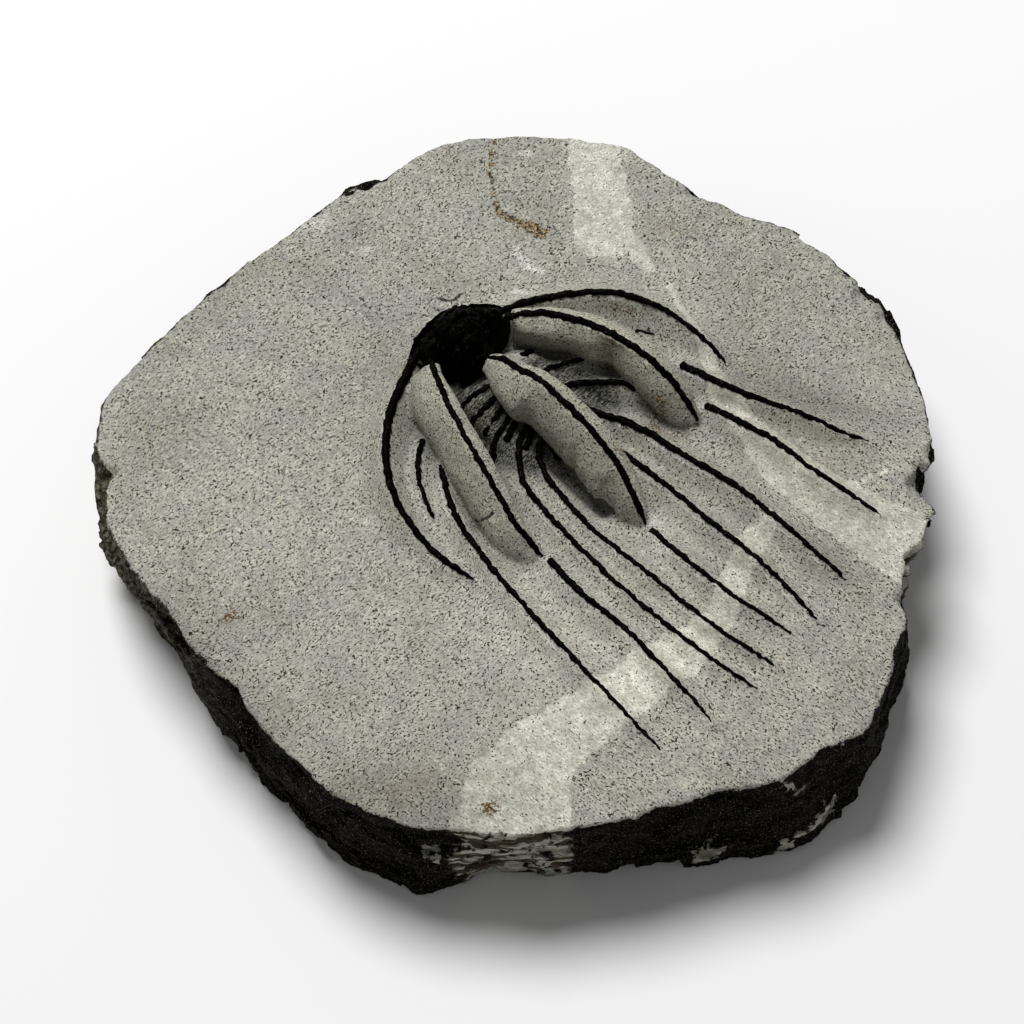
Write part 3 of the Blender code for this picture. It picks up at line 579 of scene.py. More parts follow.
# Soft marks: (x, y, half-length, half-width, bearing of the length, strength)
STAINS = {
    "brown": [(-55, 11, 7, 4, 0, 0.35), (-16, -51, 11, 4, 0, 0.4), (25.5, 47.5, 5, 3, 0, 0.4),
        (15.3, 20.5, 1.6, 1, -30, 0.8), (22.9, 12, 1.7, 1.1, -45, 1), (22.4, 9.3, 1, 1.6, 0, 1.3),
        (26.2, 8.6, 1.8, 1, 0, 0.9), (16.5, 1.3, 1, 0.8, 0, 1), (17.5, 30.4, 2.6, 0.9, -15, 0.8),
        (25.4, -0.2, 1.4, 0.8, -45, 0.7), (-43.1, -23, 1.3, 0.8, 0, 1.4), (-3.2, -54.3, 1.3, 0.9, 0, 2),
        (-5.5, -8.3, 1, 0.5, 20, 1), (-39, -20, 6, 3, 60, 0.25), (44, 8, 9, 3, -40, 0.25),
        (2.5, 4.5, 2, 6, 45, 0.15)],
    "scuff": [(-23.5, 32, 9.5, 2.2, -42, 0.9), (-12, 32, 3, 1.2, -42, 0.5)],
    "pale": [(-32, 48.4, 2.6, 2, 0, 0.8), (-23.8, 43.4, 1.6, 0.5, 15, 1.2),
        (1.6, 41.8, 1.9, 0.4, -61, 2.4), (3.8, 39.4, 1.5, 0.4, -32, 2.2),
        (1.4, 34.8, 1.6, 0.6, -28, 1.2), (2.5, 62.2, 1.5, 0.4, -13, 2.2), (21.2, -6.8, 2.6, 1, -45, 0.8),
        (23, -12, 2, 1.2, -45, 0.5), (30.5, 12.5, 1.6, 0.8, -40, 0.6), (5, -15.5, 1.8, 0.8, -50, 0.5),
        (14.6, 56, 13, 4.5, 90, 0.5)],
    # Painted shade over the thorax and the hollow right of the middle fin
    "thorax": [(-1, 9.5, 11, 5.6, -45, 1.3), (9.5, 16.5, 10, 4.2, -30, 0.9)],
    # Lighter above 0 and darker below it: partly painted light and shade, partly the rock's own tone
    "shade": [(6, -24, 27, 14, -15, 0.2), (-40, 0, 13, 17, 0, 0.14), (-40, -38, 16, 6, -50, -0.22),
        (-14, -55, 14, 4.5, -5, -0.25), (12, 39, 8, 4, 0, -0.12), (45, 16, 13, 4.5, -15, -0.22),
        (35, 11, 3, 3, 0, 0.2), (16, 18.5, 9, 3, -30, 0.25), (-20, 22, 4, 10, 10, -0.12),
        (27, -29, 4, 4, 0, 0.15), (-10, 38, 5, 4, 0, -0.1)],
    "olive": [(-63, -2, 24, 9, 97, 1.4), (-50, -32, 14, 5, -55, 0.6), (42, -48, 10, 6, 20, 0.35)],
    # Black bites at the rim; the last two, broad and weak, are painted shade in the valleys at the right
    "dark": [(-25, 57.6, 4.6, 0.9, 35, 1.3), (57, 36.6, 4.8, 0.8, -55, 1.3), (61.6, 28, 3, 0.4, -70, 1),
        (63.6, 0.6, 2.6, 0.7, 90, 1.2), (-50.5, -27.5, 2.6, 1, -50, 1.2), (-47, -31, 2.8, 1.1, -45, 1.3),
        (-44.5, -45, 2, 1.2, -50, 1.1), (-53, -21.5, 1.8, 0.6, -45, 0.8), (49.6, 14, 13, 3, -18, 0.22),
        (50, -14, 9, 5, -40, 0.18)],
}

# Bare cream marks on the broken side, as bands of points (x, y, z) with half-widths
CREAM_MARKS = [
    [(29.2, -54.9, 4.6, 2), (30.4, -54.2, 5.4, 2)],
    [(40.2, -52.6, 1, 0.9), (42.4, -52.1, 4.7, 1.3), (44.5, -50.8, 5.5, 1.4), (46, -49.4, 5.6, 2.4),
     (48.2, -47.6, 6, 2.6)],
    [(40.3, -50.2, 21.2, 1), (43.1, -49.6, 16.2, 0.9)],
    [(-12.4, -58, 15.2, 1), (-10.3, -58.6, 13.6, 1.4)],
]
# Rusty cracks, as bands like the veins
BROWN_CRACKS = [
    [(-3, 65.1, 0.5), (-3.6, 58.3, 0.6), (-3.1, 53.9, 0.4), (-2.3, 50.4, 0.7), (0, 49, 0.8),
     (2.8, 47.8, 1.2), (5.4, 46.1, 1)],
    [(5.5, 46, 0.2), (5.8, 44.4, 0.1), (6.6, 41.7, 0.1), (7.8, 38.4, 0)],
]
# Scratches, where the camera sees them on the level of the slab's face
SIGHT_SLOPE = 0.53  # plan run of the camera's line of sight for each mm of height
SCRATCHES = [
    [(-12.7, 34.6), (-10.8, 33.5), (-9.3, 33.7), (-8.1, 35)],
    [(-5.7, -6.4), (-5.2, -6.6), (-4.2, -6.2), (-3.4, -5.7), (-2.8, -5)],
    [(19.2, 28.1), (20.8, 27.7), (22.8, 27)],
]
SPINE_REACH, SCRATCH_REACH = 2.5, 1.5  # how far from a line its offset is worked out
LINE_END = 0.15  # and how far beyond its ends
BREAK_SLOPE = 1.3  # drop at which the rock is broken, for each mm inwards of the rim
# For the painted shade in the hollows:
SHELTER_BLUR = 3.0  # size of a hollow's surroundings
SHELTER_DEPTH = 5.0  # the deepest is this far below them
SHELTER_MARGIN = 4.0  # strip along the rim where nothing is a hollow
THORAX_TOP = 5.3  # above this the rock is a fin


def band_depth(bands, *place):
    """How far a plan or space point lies inside the nearest band, negative outside."""
    deepest = np.full(place[0].shape, -FAR)
    for band in bands:
        for start, end in zip(np.array(band), np.array(band)[1:]):
            run = end[:-1] - start[:-1]
            offsets = [values - value for values, value in zip(place, start)]
            t = np.clip(sum(o * r for o, r in zip(offsets, run)) / (run @ run), 0, 1)
            away = np.sqrt(sum((o - t * r) ** 2 for o, r in zip(offsets, run)))
            deepest = np.maximum(deepest, start[-1] + t * (end[-1] - start[-1]) - away)
    return deepest


def stain_amount(stains, x, y):
    amount = np.zeros(x.shape)
    for cx, cy, long, wide, bearing, strength in stains:
        u, v = turned(x, y, (cx, cy), bearing)
        amount = amount + strength * np.exp(-(u / long) ** 2 - (v / wide) ** 2)
    return amount


def line_offset(routes, x, y, reach):
    """Signed plan offset from the nearest of some lines, FAR where none is in reach."""
    nearest = np.full(x.shape, FAR)
    for route in routes:
        curve = smooth_curve(route, CURVE_STEP)
        near_x, near_y = in_reach(curve, x, y, reach)
        near = near_x & near_y
        index, offset, beyond = nearest_on(curve, x[near], y[near])
        found = np.where(beyond > LINE_END, FAR, offset)
        kept = nearest[near]
        nearest[near] = np.where(np.abs(found) < np.abs(kept), found, kept)
    return nearest


def blurred(grid, radius):
    """Gaussian blur of a plan grid; the radius is its standard deviation in mm."""
    reach = int(3 * radius / VOXEL)
    steps = np.arange(-reach, reach + 1) * VOXEL
    weights = np.exp(-(steps / radius) ** 2 / 2)
    weights /= weights.sum()
    for axis in (0, 1):
        grid = np.apply_along_axis(np.convolve, axis, grid, weights, "same")
    return grid


def mark_rock(rock, surface, xs, ys):
    """Stores on each vertex where veins, stains, painted shade and the broken side are."""
    mesh = rock.data
    place = np.empty(len(mesh.vertices) * 3, np.float32)
    mesh.vertices.foreach_get("co", place)
    x, y, z = place.reshape(-1, 3).astype(float).T / MM
    drop = SLAB_THICKNESS - z
    inwards = around(RIM, np.degrees(np.arctan2(y, x)) % 360) - np.hypot(x, y)
    # How far a point lies below its blurred surroundings, the mask of painted shade in the hollows
    shelter = (sample(blurred(surface, SHELTER_BLUR), xs, ys, x, y) - z) / SHELTER_DEPTH
    spines = [points for radius, points in RIDGE_SPINES.values()]
    marks = {
        "vein": band_depth(VEINS, x, y),
        "break": np.maximum(drop - BREAK_SLOPE * np.maximum(inwards, 0), -FAR),
        "spine": line_offset(spines, x, y, SPINE_REACH),
        "crack": band_depth(BROWN_CRACKS, x, y),
        "cream": band_depth(CREAM_MARKS, x, y, z),
        "scratch": line_offset(SCRATCHES, x, y - SIGHT_SLOPE * drop, SCRATCH_REACH),
        "shelter": np.clip(shelter, 0, 1) * (inwards > SHELTER_MARGIN),
    }
    for kind, stains in STAINS.items():
        marks[kind] = stain_amount(stains, x, y)
    marks["thorax"] *= np.clip(drop + THORAX_TOP, 0, 1)
    for name, values in marks.items():
        mark = mesh.attributes.new(name, "FLOAT", "POINT")
        mark.data.foreach_set("value", values.astype(np.float32))


# Fossil pieces

TUBE_SIDES = 14
TUBE_STEP = 0.2
TUBE_CAPS = (0.7, 0.9)  # bulge of the root and of the tip, as shares of their radius
ROOT_REACH = 1.2  # how far a spine runs on into the head
HEAD_ROOTED = ("genal_spine_left", "genal_spine_right", "fin_spine_left", "fin_spine_right")
# Roots thinner than the spine, as a share of its thickness
FREE_ROOTS = {"fin_spine_middle": 0.5, "spine_fragment": 0.4, "hollow_spine_lower": 0.6}
FIRST_SPINE_SEED = 100


def fossil_tube(name, radius, points, tip, root, seed):
    """Black spine with a slightly lumpy surface and a rounded tip at each end."""
    curve = smooth_curve(points, TUBE_STEP)
    count = len(curve)
    radii = taper(radius, count, tip, root)
    along = unit(np.gradient(curve, axis=0))
    zero = np.zeros(count)
    right = unit(np.stack([-along[:, 1], along[:, 0], zero], 1))
    upward = np.cross(along, right)
    upward *= np.sign(upward[:, 2])[:, None]
    steps = np.arange(count) * TUBE_STEP
    swerve = uneven(steps, zero, zero, SPINE_SWERVE + (seed,))
    lift = uneven(steps, zero, zero, SPINE_LIFT + (seed + 1,))
    curve = curve + right * swerve[:, None] + upward * lift[:, None]
    turns = (2 * math.pi * np.arange(TUBE_SIDES) / TUBE_SIDES)[:, None]
    circles = np.cos(turns) * right[:, None] + np.sin(turns) * upward[:, None]
    place = curve[:, None] + radii[:, None, None] * circles
    lumps = uneven(*np.moveaxis(place, 2, 0), SPINE_LUMPS + (seed + 2,))
    rings = curve[:, None] + (radii[:, None] + lumps)[:, :, None] * circles
    caps = [curve[0] - along[0] * radii[0] * TUBE_CAPS[0],
            curve[-1] + along[-1] * radii[-1] * TUBE_CAPS[1]]
    vertices = np.vstack([rings.reshape(-1, 3), caps])
    vertices[:, 2] += SLAB_THICKNESS
    faces = []
    first_cap = count * TUBE_SIDES
    last = first_cap - TUBE_SIDES
    for j in range(TUBE_SIDES):
        after = (j + 1) % TUBE_SIDES
        faces.append((after, j, first_cap))
        faces.append((last + j, last + after, first_cap + 1))
        for k in range(0, last, TUBE_SIDES):
            faces.append((k + j, k + after, k + TUBE_SIDES + after, k + TUBE_SIDES + j))
    return mesh_object("piece_" + name, (vertices * MM).tolist(), faces)


def rooted(points):
    """A spine's points with one more before the first, inside the head."""
    first, second = np.array(points[0]), np.array(points[1])
    back = (first - second) / np.linalg.norm(first - second)
    return [tuple(first + ROOT_REACH * back)] + points


HEAD_CENTRE = (-7.5, 23.3)
HEAD_OUTLINE = [
    (-16.4, 18.6), (-16, 22.2), (-14.8, 24.5), (-12.8, 27.3), (-9.8, 29.2), (-5.1, 30.1),
    (-1.1, 29.8), (0.5, 28.5), (-0.6, 26), (-2.4, 22.8), (-3.8, 18.6), (-7.9, 17.5),
    (-11.3, 18.6), (-13.7, 19),
]
OUTLINE_SPREAD = (-12, -6, 0, 6, 12)  # bearings over which it is smoothed
HEAD_HEIGHT = 7.4
HEAD_FRONT = 122  # bearing of the snout
# The dome: powers of the shares outwards and upwards and of their sum, and its scale in mm
DOME = (3.0, 2.0, 1 / 2.4, 4.6)
# Lobes and furrows: height, middle forwards and to both sides, half-length, half-width
HEAD_FORMS = [
    (1.7, 0.4, 0, 6.8, 3.9),  # glabella
    (-0.75, 0.2, 3.9, 6.2, 0.9),  # furrows beside it
    (1.1, -0.2, 5.8, 2.6, 2.0),  # eyes
    (0.8, -5.4, 0, 1.1, 8.5),  # neck ring
    (-0.7, -4.0, 0, 0.7, 7.5),  # furrow before it
    (-0.5, -1.8, 0, 0.5, 3.4), (-0.5, 0.8, 0, 0.5, 3.4), (-0.5, 3.2, 0, 0.5, 3.4),
]
# Border with its furrows, round the front: height, share of the way outwards, half-width
HEAD_BORDER = [(0.55, 0.97, 0.05), (-0.65, 0.86, 0.035), (-0.25, 0.93, 0.015)]
BORDER_START, BORDER_RUN = -1.5, 3.0  # where it begins, and how soon it is whole
HEAD_DEPTH = 0.8  # how far the head goes down into the rock
HEAD_LOW = (-18.5, 13.5, -1.5)
HEAD_HIGH = (4.5, 33.0, 11.0)
HEAD_VOXEL = 0.16
HEAD_TRIANGLES = 60000
TUBERCLES = 170
TUBERCLE_RADII = (0.24, 0.26)  # the least, and how much larger they may be
TUBERCLE_GAP = 0.75  # between their middles
TUBERCLE_BORDER = 0.96  # none lies beyond this share of the way outwards
TUBERCLE_SINK = 0.05
TUBERCLE_BLEND = 0.25
TUBERCLE_REACH = 0.6  # how far around one the head may change
TUBERCLE_SEED = 81
PICKS = 6  # places tried for each


def head_plan(x, y):
    """Share of the way from the head's middle to its outline, and forward and right offsets."""
    ox, oy = np.array(HEAD_OUTLINE).T - np.array(HEAD_CENTRE)[:, None]
    bearings = np.degrees(np.arctan2(oy, ox)) % 360
    table = sorted(zip(bearings.tolist(), np.hypot(ox, oy).tolist()))
    dx, dy = x - HEAD_CENTRE[0], y - HEAD_CENTRE[1]
    turn = np.degrees(np.arctan2(dy, dx)) % 360
    reach = sum(around(table, turn + spread) for spread in OUTLINE_SPREAD) / len(OUTLINE_SPREAD)
    forward, left = turned(x, y, HEAD_CENTRE, HEAD_FRONT)
    return np.hypot(dx, dy) / reach, forward, -left


def head_swelling(share, forward, right):
    """How far the head's lobes stand out from a plain dome, mm."""
    swelling = np.zeros(share.shape)
    for height, ahead, aside, long, wide in HEAD_FORMS:
        for middle in sorted({-aside, aside}):
            away = ((forward - ahead) / long) ** 2 + ((right - middle) / wide) ** 2
            swelling += height * (1 - np.minimum(away, 1)) ** 2
    front = np.clip((forward - BORDER_START) / BORDER_RUN, 0, 1)
    for height, at, wide in HEAD_BORDER:
        swelling += front * height * np.exp(-((share - at) / wide) ** 2)
    return swelling


def head_field(x, y, h):
    share, forward, right = head_plan(x, y)
    outwards, upwards, whole, size = DOME
    level = np.maximum(h[None, None, :], 0) / HEAD_HEIGHT
    dome = (share[:, :, None] ** outwards + level ** upwards) ** whole - 1
    field = size * dome - head_swelling(share, forward, right)[:, :, None]
    return np.maximum(field, -HEAD_DEPTH - h[None, None, :])


def add_tubercles(field, axes):
    """Melts small balls into the head's field, at places on its upper surface."""
    xs, ys, hs = axes
    top = hs[np.maximum(len(hs) - 1 - np.argmax(field[:, :, ::-1] < 0, axis=2), 0)]
    numbers = np.arange(TUBERCLES * PICKS)
    zero = np.zeros(len(numbers))
    picks = [lattice(numbers, zero, zero + k, TUBERCLE_SEED) for k in range(3)]
    placed = []
    for pick_x, pick_y, pick_r in zip(*picks):
        cx = xs[0] + pick_x * (xs[-1] - xs[0])
        cy = ys[0] + pick_y * (ys[-1] - ys[0])
        share = float(head_plan(np.array(cx), np.array(cy))[0])
        if share > TUBERCLE_BORDER or len(placed) == TUBERCLES:
            continue
        i, j = int((cx - xs[0]) / HEAD_VOXEL), int((cy - ys[0]) / HEAD_VOXEL)
        centre = np.array([cx, cy, top[i, j] - TUBERCLE_SINK])
        if any(np.linalg.norm(centre - other) < TUBERCLE_GAP for other in placed):
            continue
        placed.append(centre)
        radius = TUBERCLE_RADII[0] + TUBERCLE_RADII[1] * pick_r
        middle = ((centre - HEAD_LOW) / HEAD_VOXEL).astype(int)
        span = int((radius + TUBERCLE_REACH) / HEAD_VOXEL)
        block = tuple(slice(max(0, at - span), at + span + 1) for at in middle)
        grid = grid_of(*(line[part] for line, part in zip(axes, block)))
        ball = np.sqrt(sum((g - c) ** 2 for g, c in zip(grid, centre))) - radius
        field[block] = smooth_min(field[block], ball, TUBERCLE_BLEND)


def build_head():
    axes = [np.arange(low, high, HEAD_VOXEL) for low, high in zip(HEAD_LOW, HEAD_HIGH)]
    xs, ys, hs = axes
    x, y = grid_of(xs, ys)
    field = head_field(x, y, hs)
    add_tubercles(field, axes)
    field += uneven(*grid_of(xs, ys, hs), HEAD_GRAIN)
    corner = (xs[0], ys[0], hs[0] + SLAB_THICKNESS)
    return surface_object("head", field, corner, HEAD_VOXEL, HEAD_TRIANGLES)


RIB_RADIUS = 0.62
RIB_LIFT = -0.2  # most of a rib lies in the rock
RIBS = [
    [(-8.2, 12.9), (-5.8, 14.5), (-3.1, 16.1)],
    [(-6.3, 10.2), (-4.3, 11.9), (-1.6, 14.3)],
    [(-4.2, 8.1), (-1.9, 10.9), (-0.7, 12.6)],
    [(-3.2, 2.5), (-3.3, 3.7), (-2.7, 6.4), (-1.3, 8.4), (0.2, 10.9)],
    [(-0.8, 6.4), (-0.1, 7.8), (1.4, 10.2)],
    [(2.2, 4.7), (2.8, 6.4), (3.5, 8.1)],
    [(5.6, 6.1), (6.5, 4.7), (7.7, 3.3)],
]
RIB_STUB_RIGHT = [(1.7, 21.7), (2.6, 22.6), (3.5, 23.5)]
SPINE_FRAGMENT = (0.3, [(19.6, 27.6), (21.0, 27.3), (22.5, 26.9)])


# Materials

class Value:
    """What a node gives. It adds, subtracts and multiplies as a number does."""

    def __init__(self, surface, socket):
        self.surface = surface
        self.socket = socket

    def __add__(self, other):
        return self.surface.math("ADD", self, other)

    def __sub__(self, other):
        return self.surface.math("SUBTRACT", self, other)

    def __mul__(self, other):
        return self.surface.math("MULTIPLY", self, other)

    def __abs__(self):
        return self.surface.math("ABSOLUTE", self)


class Surface:
    """A material under construction, with short forms for its nodes."""

    def __init__(self, name):
        self.material = bpy.data.materials.new(name)
        self.material.use_nodes = True
        self.tree = self.material.node_tree
        self.shader = self.tree.nodes["Principled BSDF"]
        position = self.value("ShaderNodeTexCoord", {}, "Object")
        self.place = self.vector("SCALE", position, 1 / MM)  # in millimetres

    def value(self, kind, inputs, output=0, **settings):
        """Result of a new node with these inputs and settings."""
        made = self.tree.nodes.new(kind)
        for key, value in settings.items():
            setattr(made, key, value)
        for key, value in inputs.items():
            if isinstance(value, Value):
                self.tree.links.new(value.socket, made.inputs[key])
            else:
                made.inputs[key].default_value = value
        return Value(self, made.outputs[output])

    def vector(self, operation, a, b):
        """A vector and another one, or a vector and a number to SCALE it by."""
        second = "Scale" if operation == "SCALE" else 1
        return self.value("ShaderNodeVectorMath", {0: a, second: b}, operation=operation)

    def math(self, operation, a, b=0.0):
        return self.value("ShaderNodeMath", {0: a, 1: b}, operation=operation)

    def noise(self, size, detail=2.0, roughness=0.5, place=None, output="Fac"):
        return self.value("ShaderNodeTexNoise", {
            "Vector": place or self.place, "Scale": 1 / size,
            "Detail": detail, "Roughness": roughness}, output)

    def wander(self, size, detail, roughness, reach):
        """Noise about zero, for the wandering edge of a marking."""
        return (self.noise(size, detail, roughness) - 0.5) * reach

    def grains(self, bearing, length, width, detail=1.0, place=None):
        """Noise drawn out along a plan bearing, in degrees."""
        turned_place = self.value("ShaderNodeMapping", {
            "Vector": place or self.place, "Rotation": (0, 0, math.radians(bearing)),
            "Scale": (length, width, width)}, vector_type="TEXTURE")
        return self.noise(1.0, detail, 0.55, turned_place)

    def mark(self, name):
        """A value stored on the mesh's vertices."""
        return self.value("ShaderNodeAttribute", {}, "Fac", attribute_name=name)

    def step(self, value, low, high, to_low=0.0, to_high=1.0):
        """Smooth step of a value between two limits."""
        inputs = {0: value, 1: low, 2: high, 3: to_low, 4: to_high}
        return self.value("ShaderNodeMapRange", inputs, interpolation_type="SMOOTHSTEP")

    def mix(self, amount, a, b, blend="MIX"):
        return self.value(
            "ShaderNodeMix", {0: amount, 6: a, 7: b}, 2,
            data_type="RGBA", blend_type=blend, clamp_factor=True)

    def lit(self, colour, light):
        """A colour times a brightness."""
        lamp = self.value("ShaderNodeCombineColor", {0: light, 1: light, 2: light})
        return self.mix(1.0, colour, lamp, "MULTIPLY")

    def stain(self, amount, colour):
        self.colour = self.mix(amount, self.colour, colour)

    def shade(self, amount, brightness):
        """Brings the light to a share of itself where the amount is 1."""
        self.light *= self.step(amount, 0.0, 1.0, 1.0, brightness)

    def finish(self, colour, roughness, height, specular):
        """Joins colour, roughness and a bump whose height is in millimetres."""
        relief_normal = self.value(
            "ShaderNodeBump", {"Height": height, "Strength": 1.0, "Distance": MM})
        for name, value in (
                ("Base Color", colour), ("Roughness", roughness), ("Normal", relief_normal)):
            self.tree.links.new(value.socket, self.shader.inputs[name])
        self.shader.inputs["Specular IOR Level"].default_value = specular
        return self.material


def grey(value, warmth=0.0):
    """Linear colour near a grey; warmth above 0 leans to yellow, below 0 to blue."""
    return (value * (1 + warmth), value * (1 + 0.9 * warmth), value * (1 - 1.5 * warmth), 1.0)


BLACK_SKIN = (0.0011, 0.001, 0.0007, 1)
WORN_SKIN = (0.0045, 0.004, 0.0026, 1)
SKIN_SPECKLE = (0.18, 0.165, 0.12, 1)
DAMP_MOSS, DRY_MOSS = (0.014, 0.013, 0.007, 1), (0.15, 0.14, 0.1, 1)
LAYER_SEAM = (0.06, 0.045, 0.028, 1)
TAN, RAISED_TAN, BROWN = (0.25, 0.19, 0.11, 1), (0.31, 0.3, 0.18, 1), (0.15, 0.095, 0.04, 1)
DARK_RUST, PALE_RUST = (0.02, 0.012, 0.006, 1), (0.33, 0.24, 0.12, 1)
FOSSIL_BLACK, FOSSIL_WORN = (0.0004, 0.0004, 0.0003, 1), (0.0018, 0.0015, 0.001, 1)
# Brownish flecks on the fossil, partly dust and partly painted glints
FOSSIL_DUST_AND_GLINTS = (0.06, 0.05, 0.035, 1)


def lay_ground(s):
    """Greenish cream and cooler grey in small soft patches, and calcite veins."""
    s.colour = s.mix(s.step(s.tint, 0.40, 0.60), grey(0.36, 0.045), grey(0.392, 0.07))
    s.light = s.step(s.noise(26.0), 0.3, 0.7, 0.94, 1.06)
    s.light += s.step(s.mottle, 0.3, 0.7, -0.1, 0.1)
    s.light += s.step(s.grain, 0.25, 0.75, -0.16, 0.16)
    calcite = s.mix(s.step(s.mottle, 0.35, 0.65), grey(0.48, 0.075), grey(0.58, 0.06))
    s.stain(s.vein * s.step(s.patches, 0.3, 0.62, 0.6, 1.0), calcite)


def lay_grains(s):
    """Dark grains, drawn out another way at the lower right, and fewer in the veins."""
    x, y = (s.value("ShaderNodeSeparateXYZ", {0: s.warped}, axis) for axis in (0, 1))
    lower_right = s.step(x - y, 26.0, 50.0)
    upper_left = s.math("SUBTRACT", 1.0, lower_right)

    def drawn_out(length, width, shift):
        moved = s.vector("ADD", s.warped, (0, 0, shift))
        return (s.grains(42, length, width, place=moved) * upper_left
                + s.grains(-38, length, width, place=moved) * lower_right)

    s.light += s.step(drawn_out(0.6, 0.24, 40.0), 0.3, 0.7, -0.2, 0.2)
    fewer = s.step(s.mottle, 0.35, 0.65, 0.035, -0.035) + s.vein * 0.07
    s.shade(s.step(drawn_out(0.7, 0.22, 0.0) - fewer, 0.59, 0.67), 0.28)
    specks = s.noise(0.33, 0.0, place=s.warped)
    s.shade(s.step(specks - fewer, 0.655, 0.72), 0.1)
    s.shade(s.step(specks, 0.34, 0.24), 1.3)
    # Painted light and shade in broad patches, partly the rock's own tone
    s.light *= s.mark("shade") + 1.0


def lay_stains(s):
    tan = s.step(s.noise(11.0, 3.0, 0.6), 0.48, 0.66) * s.step(s.grain, 0.42, 0.6)
    s.stain(tan * 0.35, TAN)
    raised = s.step(s.height, SLAB_THICKNESS + 1.5, SLAB_THICKNESS + 4.5)
    s.stain(raised * 0.22, RAISED_TAN)
    scraped = s.step(s.grains(-12, 2.2, 0.2, 2.0), 0.35, 0.65, -0.16, 0.16)
    # Painted light: raised rock is 0.06 lighter, with scraped streaks along it
    s.light += raised * (scraped + 0.06)
    flakes = s.noise(0.45, 2.0, 0.6)
    s.stain(s.mark("brown") * s.step(flakes, 0.44, 0.58, 0.15, 1.7) * 0.75, BROWN)
    scuff = s.mark("scuff") * s.step(s.grains(-42, 3.0, 0.35), 0.42, 0.6)
    s.stain(scuff * 0.55, grey(0.27, -0.04))
    s.stain(s.mark("pale") * s.step(s.grain, 0.3, 0.6, 0.35, 1.2) * 0.7, grey(0.68, 0.03))
    crack = s.step(s.mark("crack") + s.wander(0.8, 3.0, 0.8, 3.6), 0.0, 0.25)
    s.stain(crack * 0.9, s.mix(s.step(flakes, 0.42, 0.56), DARK_RUST, PALE_RUST))
    s.shade(s.step(abs(s.mark("scratch")), 0.38, 0.14), 0.2)
    # Painted highlight: a whitish line along one side of each spine, in patches
    spine_side_highlight = s.step(abs(s.mark("spine") + 0.85), 0.22, 0.05) * s.step(s.patches, 0.45, 0.6)
    s.stain(spine_side_highlight * 0.6, grey(0.6, 0.02))


def lay_shadows(s):
    """Painted shade between the ribs, in the hollows and in broad dark patches; the rock is also darker
    around dark bites.
    """
    # Painted shade over the thorax, with darker lines along the ribs
    thorax = s.step(s.mark("thorax"), 0.25, 0.6)
    ribbing = s.step(s.grains(41, 3.0, 0.25), 0.4, 0.6, 0.5, 0.1)
    s.light *= thorax * ribbing + s.math("SUBTRACT", 1.0, thorax)
    # Painted shade, deepest in narrow hollows
    s.light *= s.step(s.mark("shelter"), 0.12, 0.75, 1.0, 0.43)
    s.light *= s.step(s.mark("dark"), 0.0, 0.25, 1.0, 0.75)


def broken_side(s):
    """Where the rock is broken, and its colour: black skin, and layered calcite in the vein."""
    far_ragged = (s.patches - 0.5) * 1.8
    depth = s.mark("break") + (s.wander(1.5, 4.0, 0.7, 2.8) + far_ragged)
    bitten = s.mark("dark") * s.step(s.mottle, 0.3, 0.6, 0.5, 2.2)
    broken = s.math("MAXIMUM", s.step(depth, -0.1, 0.3), s.step(bitten, 0.75, 1.0))
    skin = s.mix(s.step(s.patches, 0.3, 0.7), BLACK_SKIN, WORN_SKIN)
    mossy = s.step(s.mark("olive") * s.step(s.mottle, 0.3, 0.7, 0.5, 1.3), 0.2, 0.9)
    crust = s.step(s.noise(0.8, 3.0, 0.65), 0.44, 0.62)
    skin = s.mix(mossy, skin, s.mix(crust, DAMP_MOSS, DRY_MOSS))
    speckle = s.step(s.noise(0.26, 1.0, 0.7), 0.58, 0.72)
    skin = s.mix(speckle * s.step(s.mottle, 0.3, 0.7, 0.35, 0.9), skin, SKIN_SPECKLE)
    flattened = s.vector("MULTIPLY", s.warped, (0.12, 0.12, 1.0))
    layers = s.grains(0, 1.0, 0.9, 3.0, flattened)
    bare = s.step(s.mark("vein") + (s.edge * 1.4 + far_ragged * 3.5), 0.2, 1.4)
    calcite = s.mix(s.step(layers, 0.44, 0.56), LAYER_SEAM, grey(0.40, 0.07))
    skin = s.mix(bare * s.step(s.mottle, 0.36, 0.5), skin, calcite)
    cream = s.step(s.mark("cream") + s.step(s.mottle, 0.3, 0.7, -0.9, 0.9), 0.0, 0.5)
    cream_colour = s.mix(s.step(layers, 0.42, 0.6), grey(0.16, 0.1), grey(0.42, 0.07))
    return broken, s.mix(cream, skin, cream_colour)


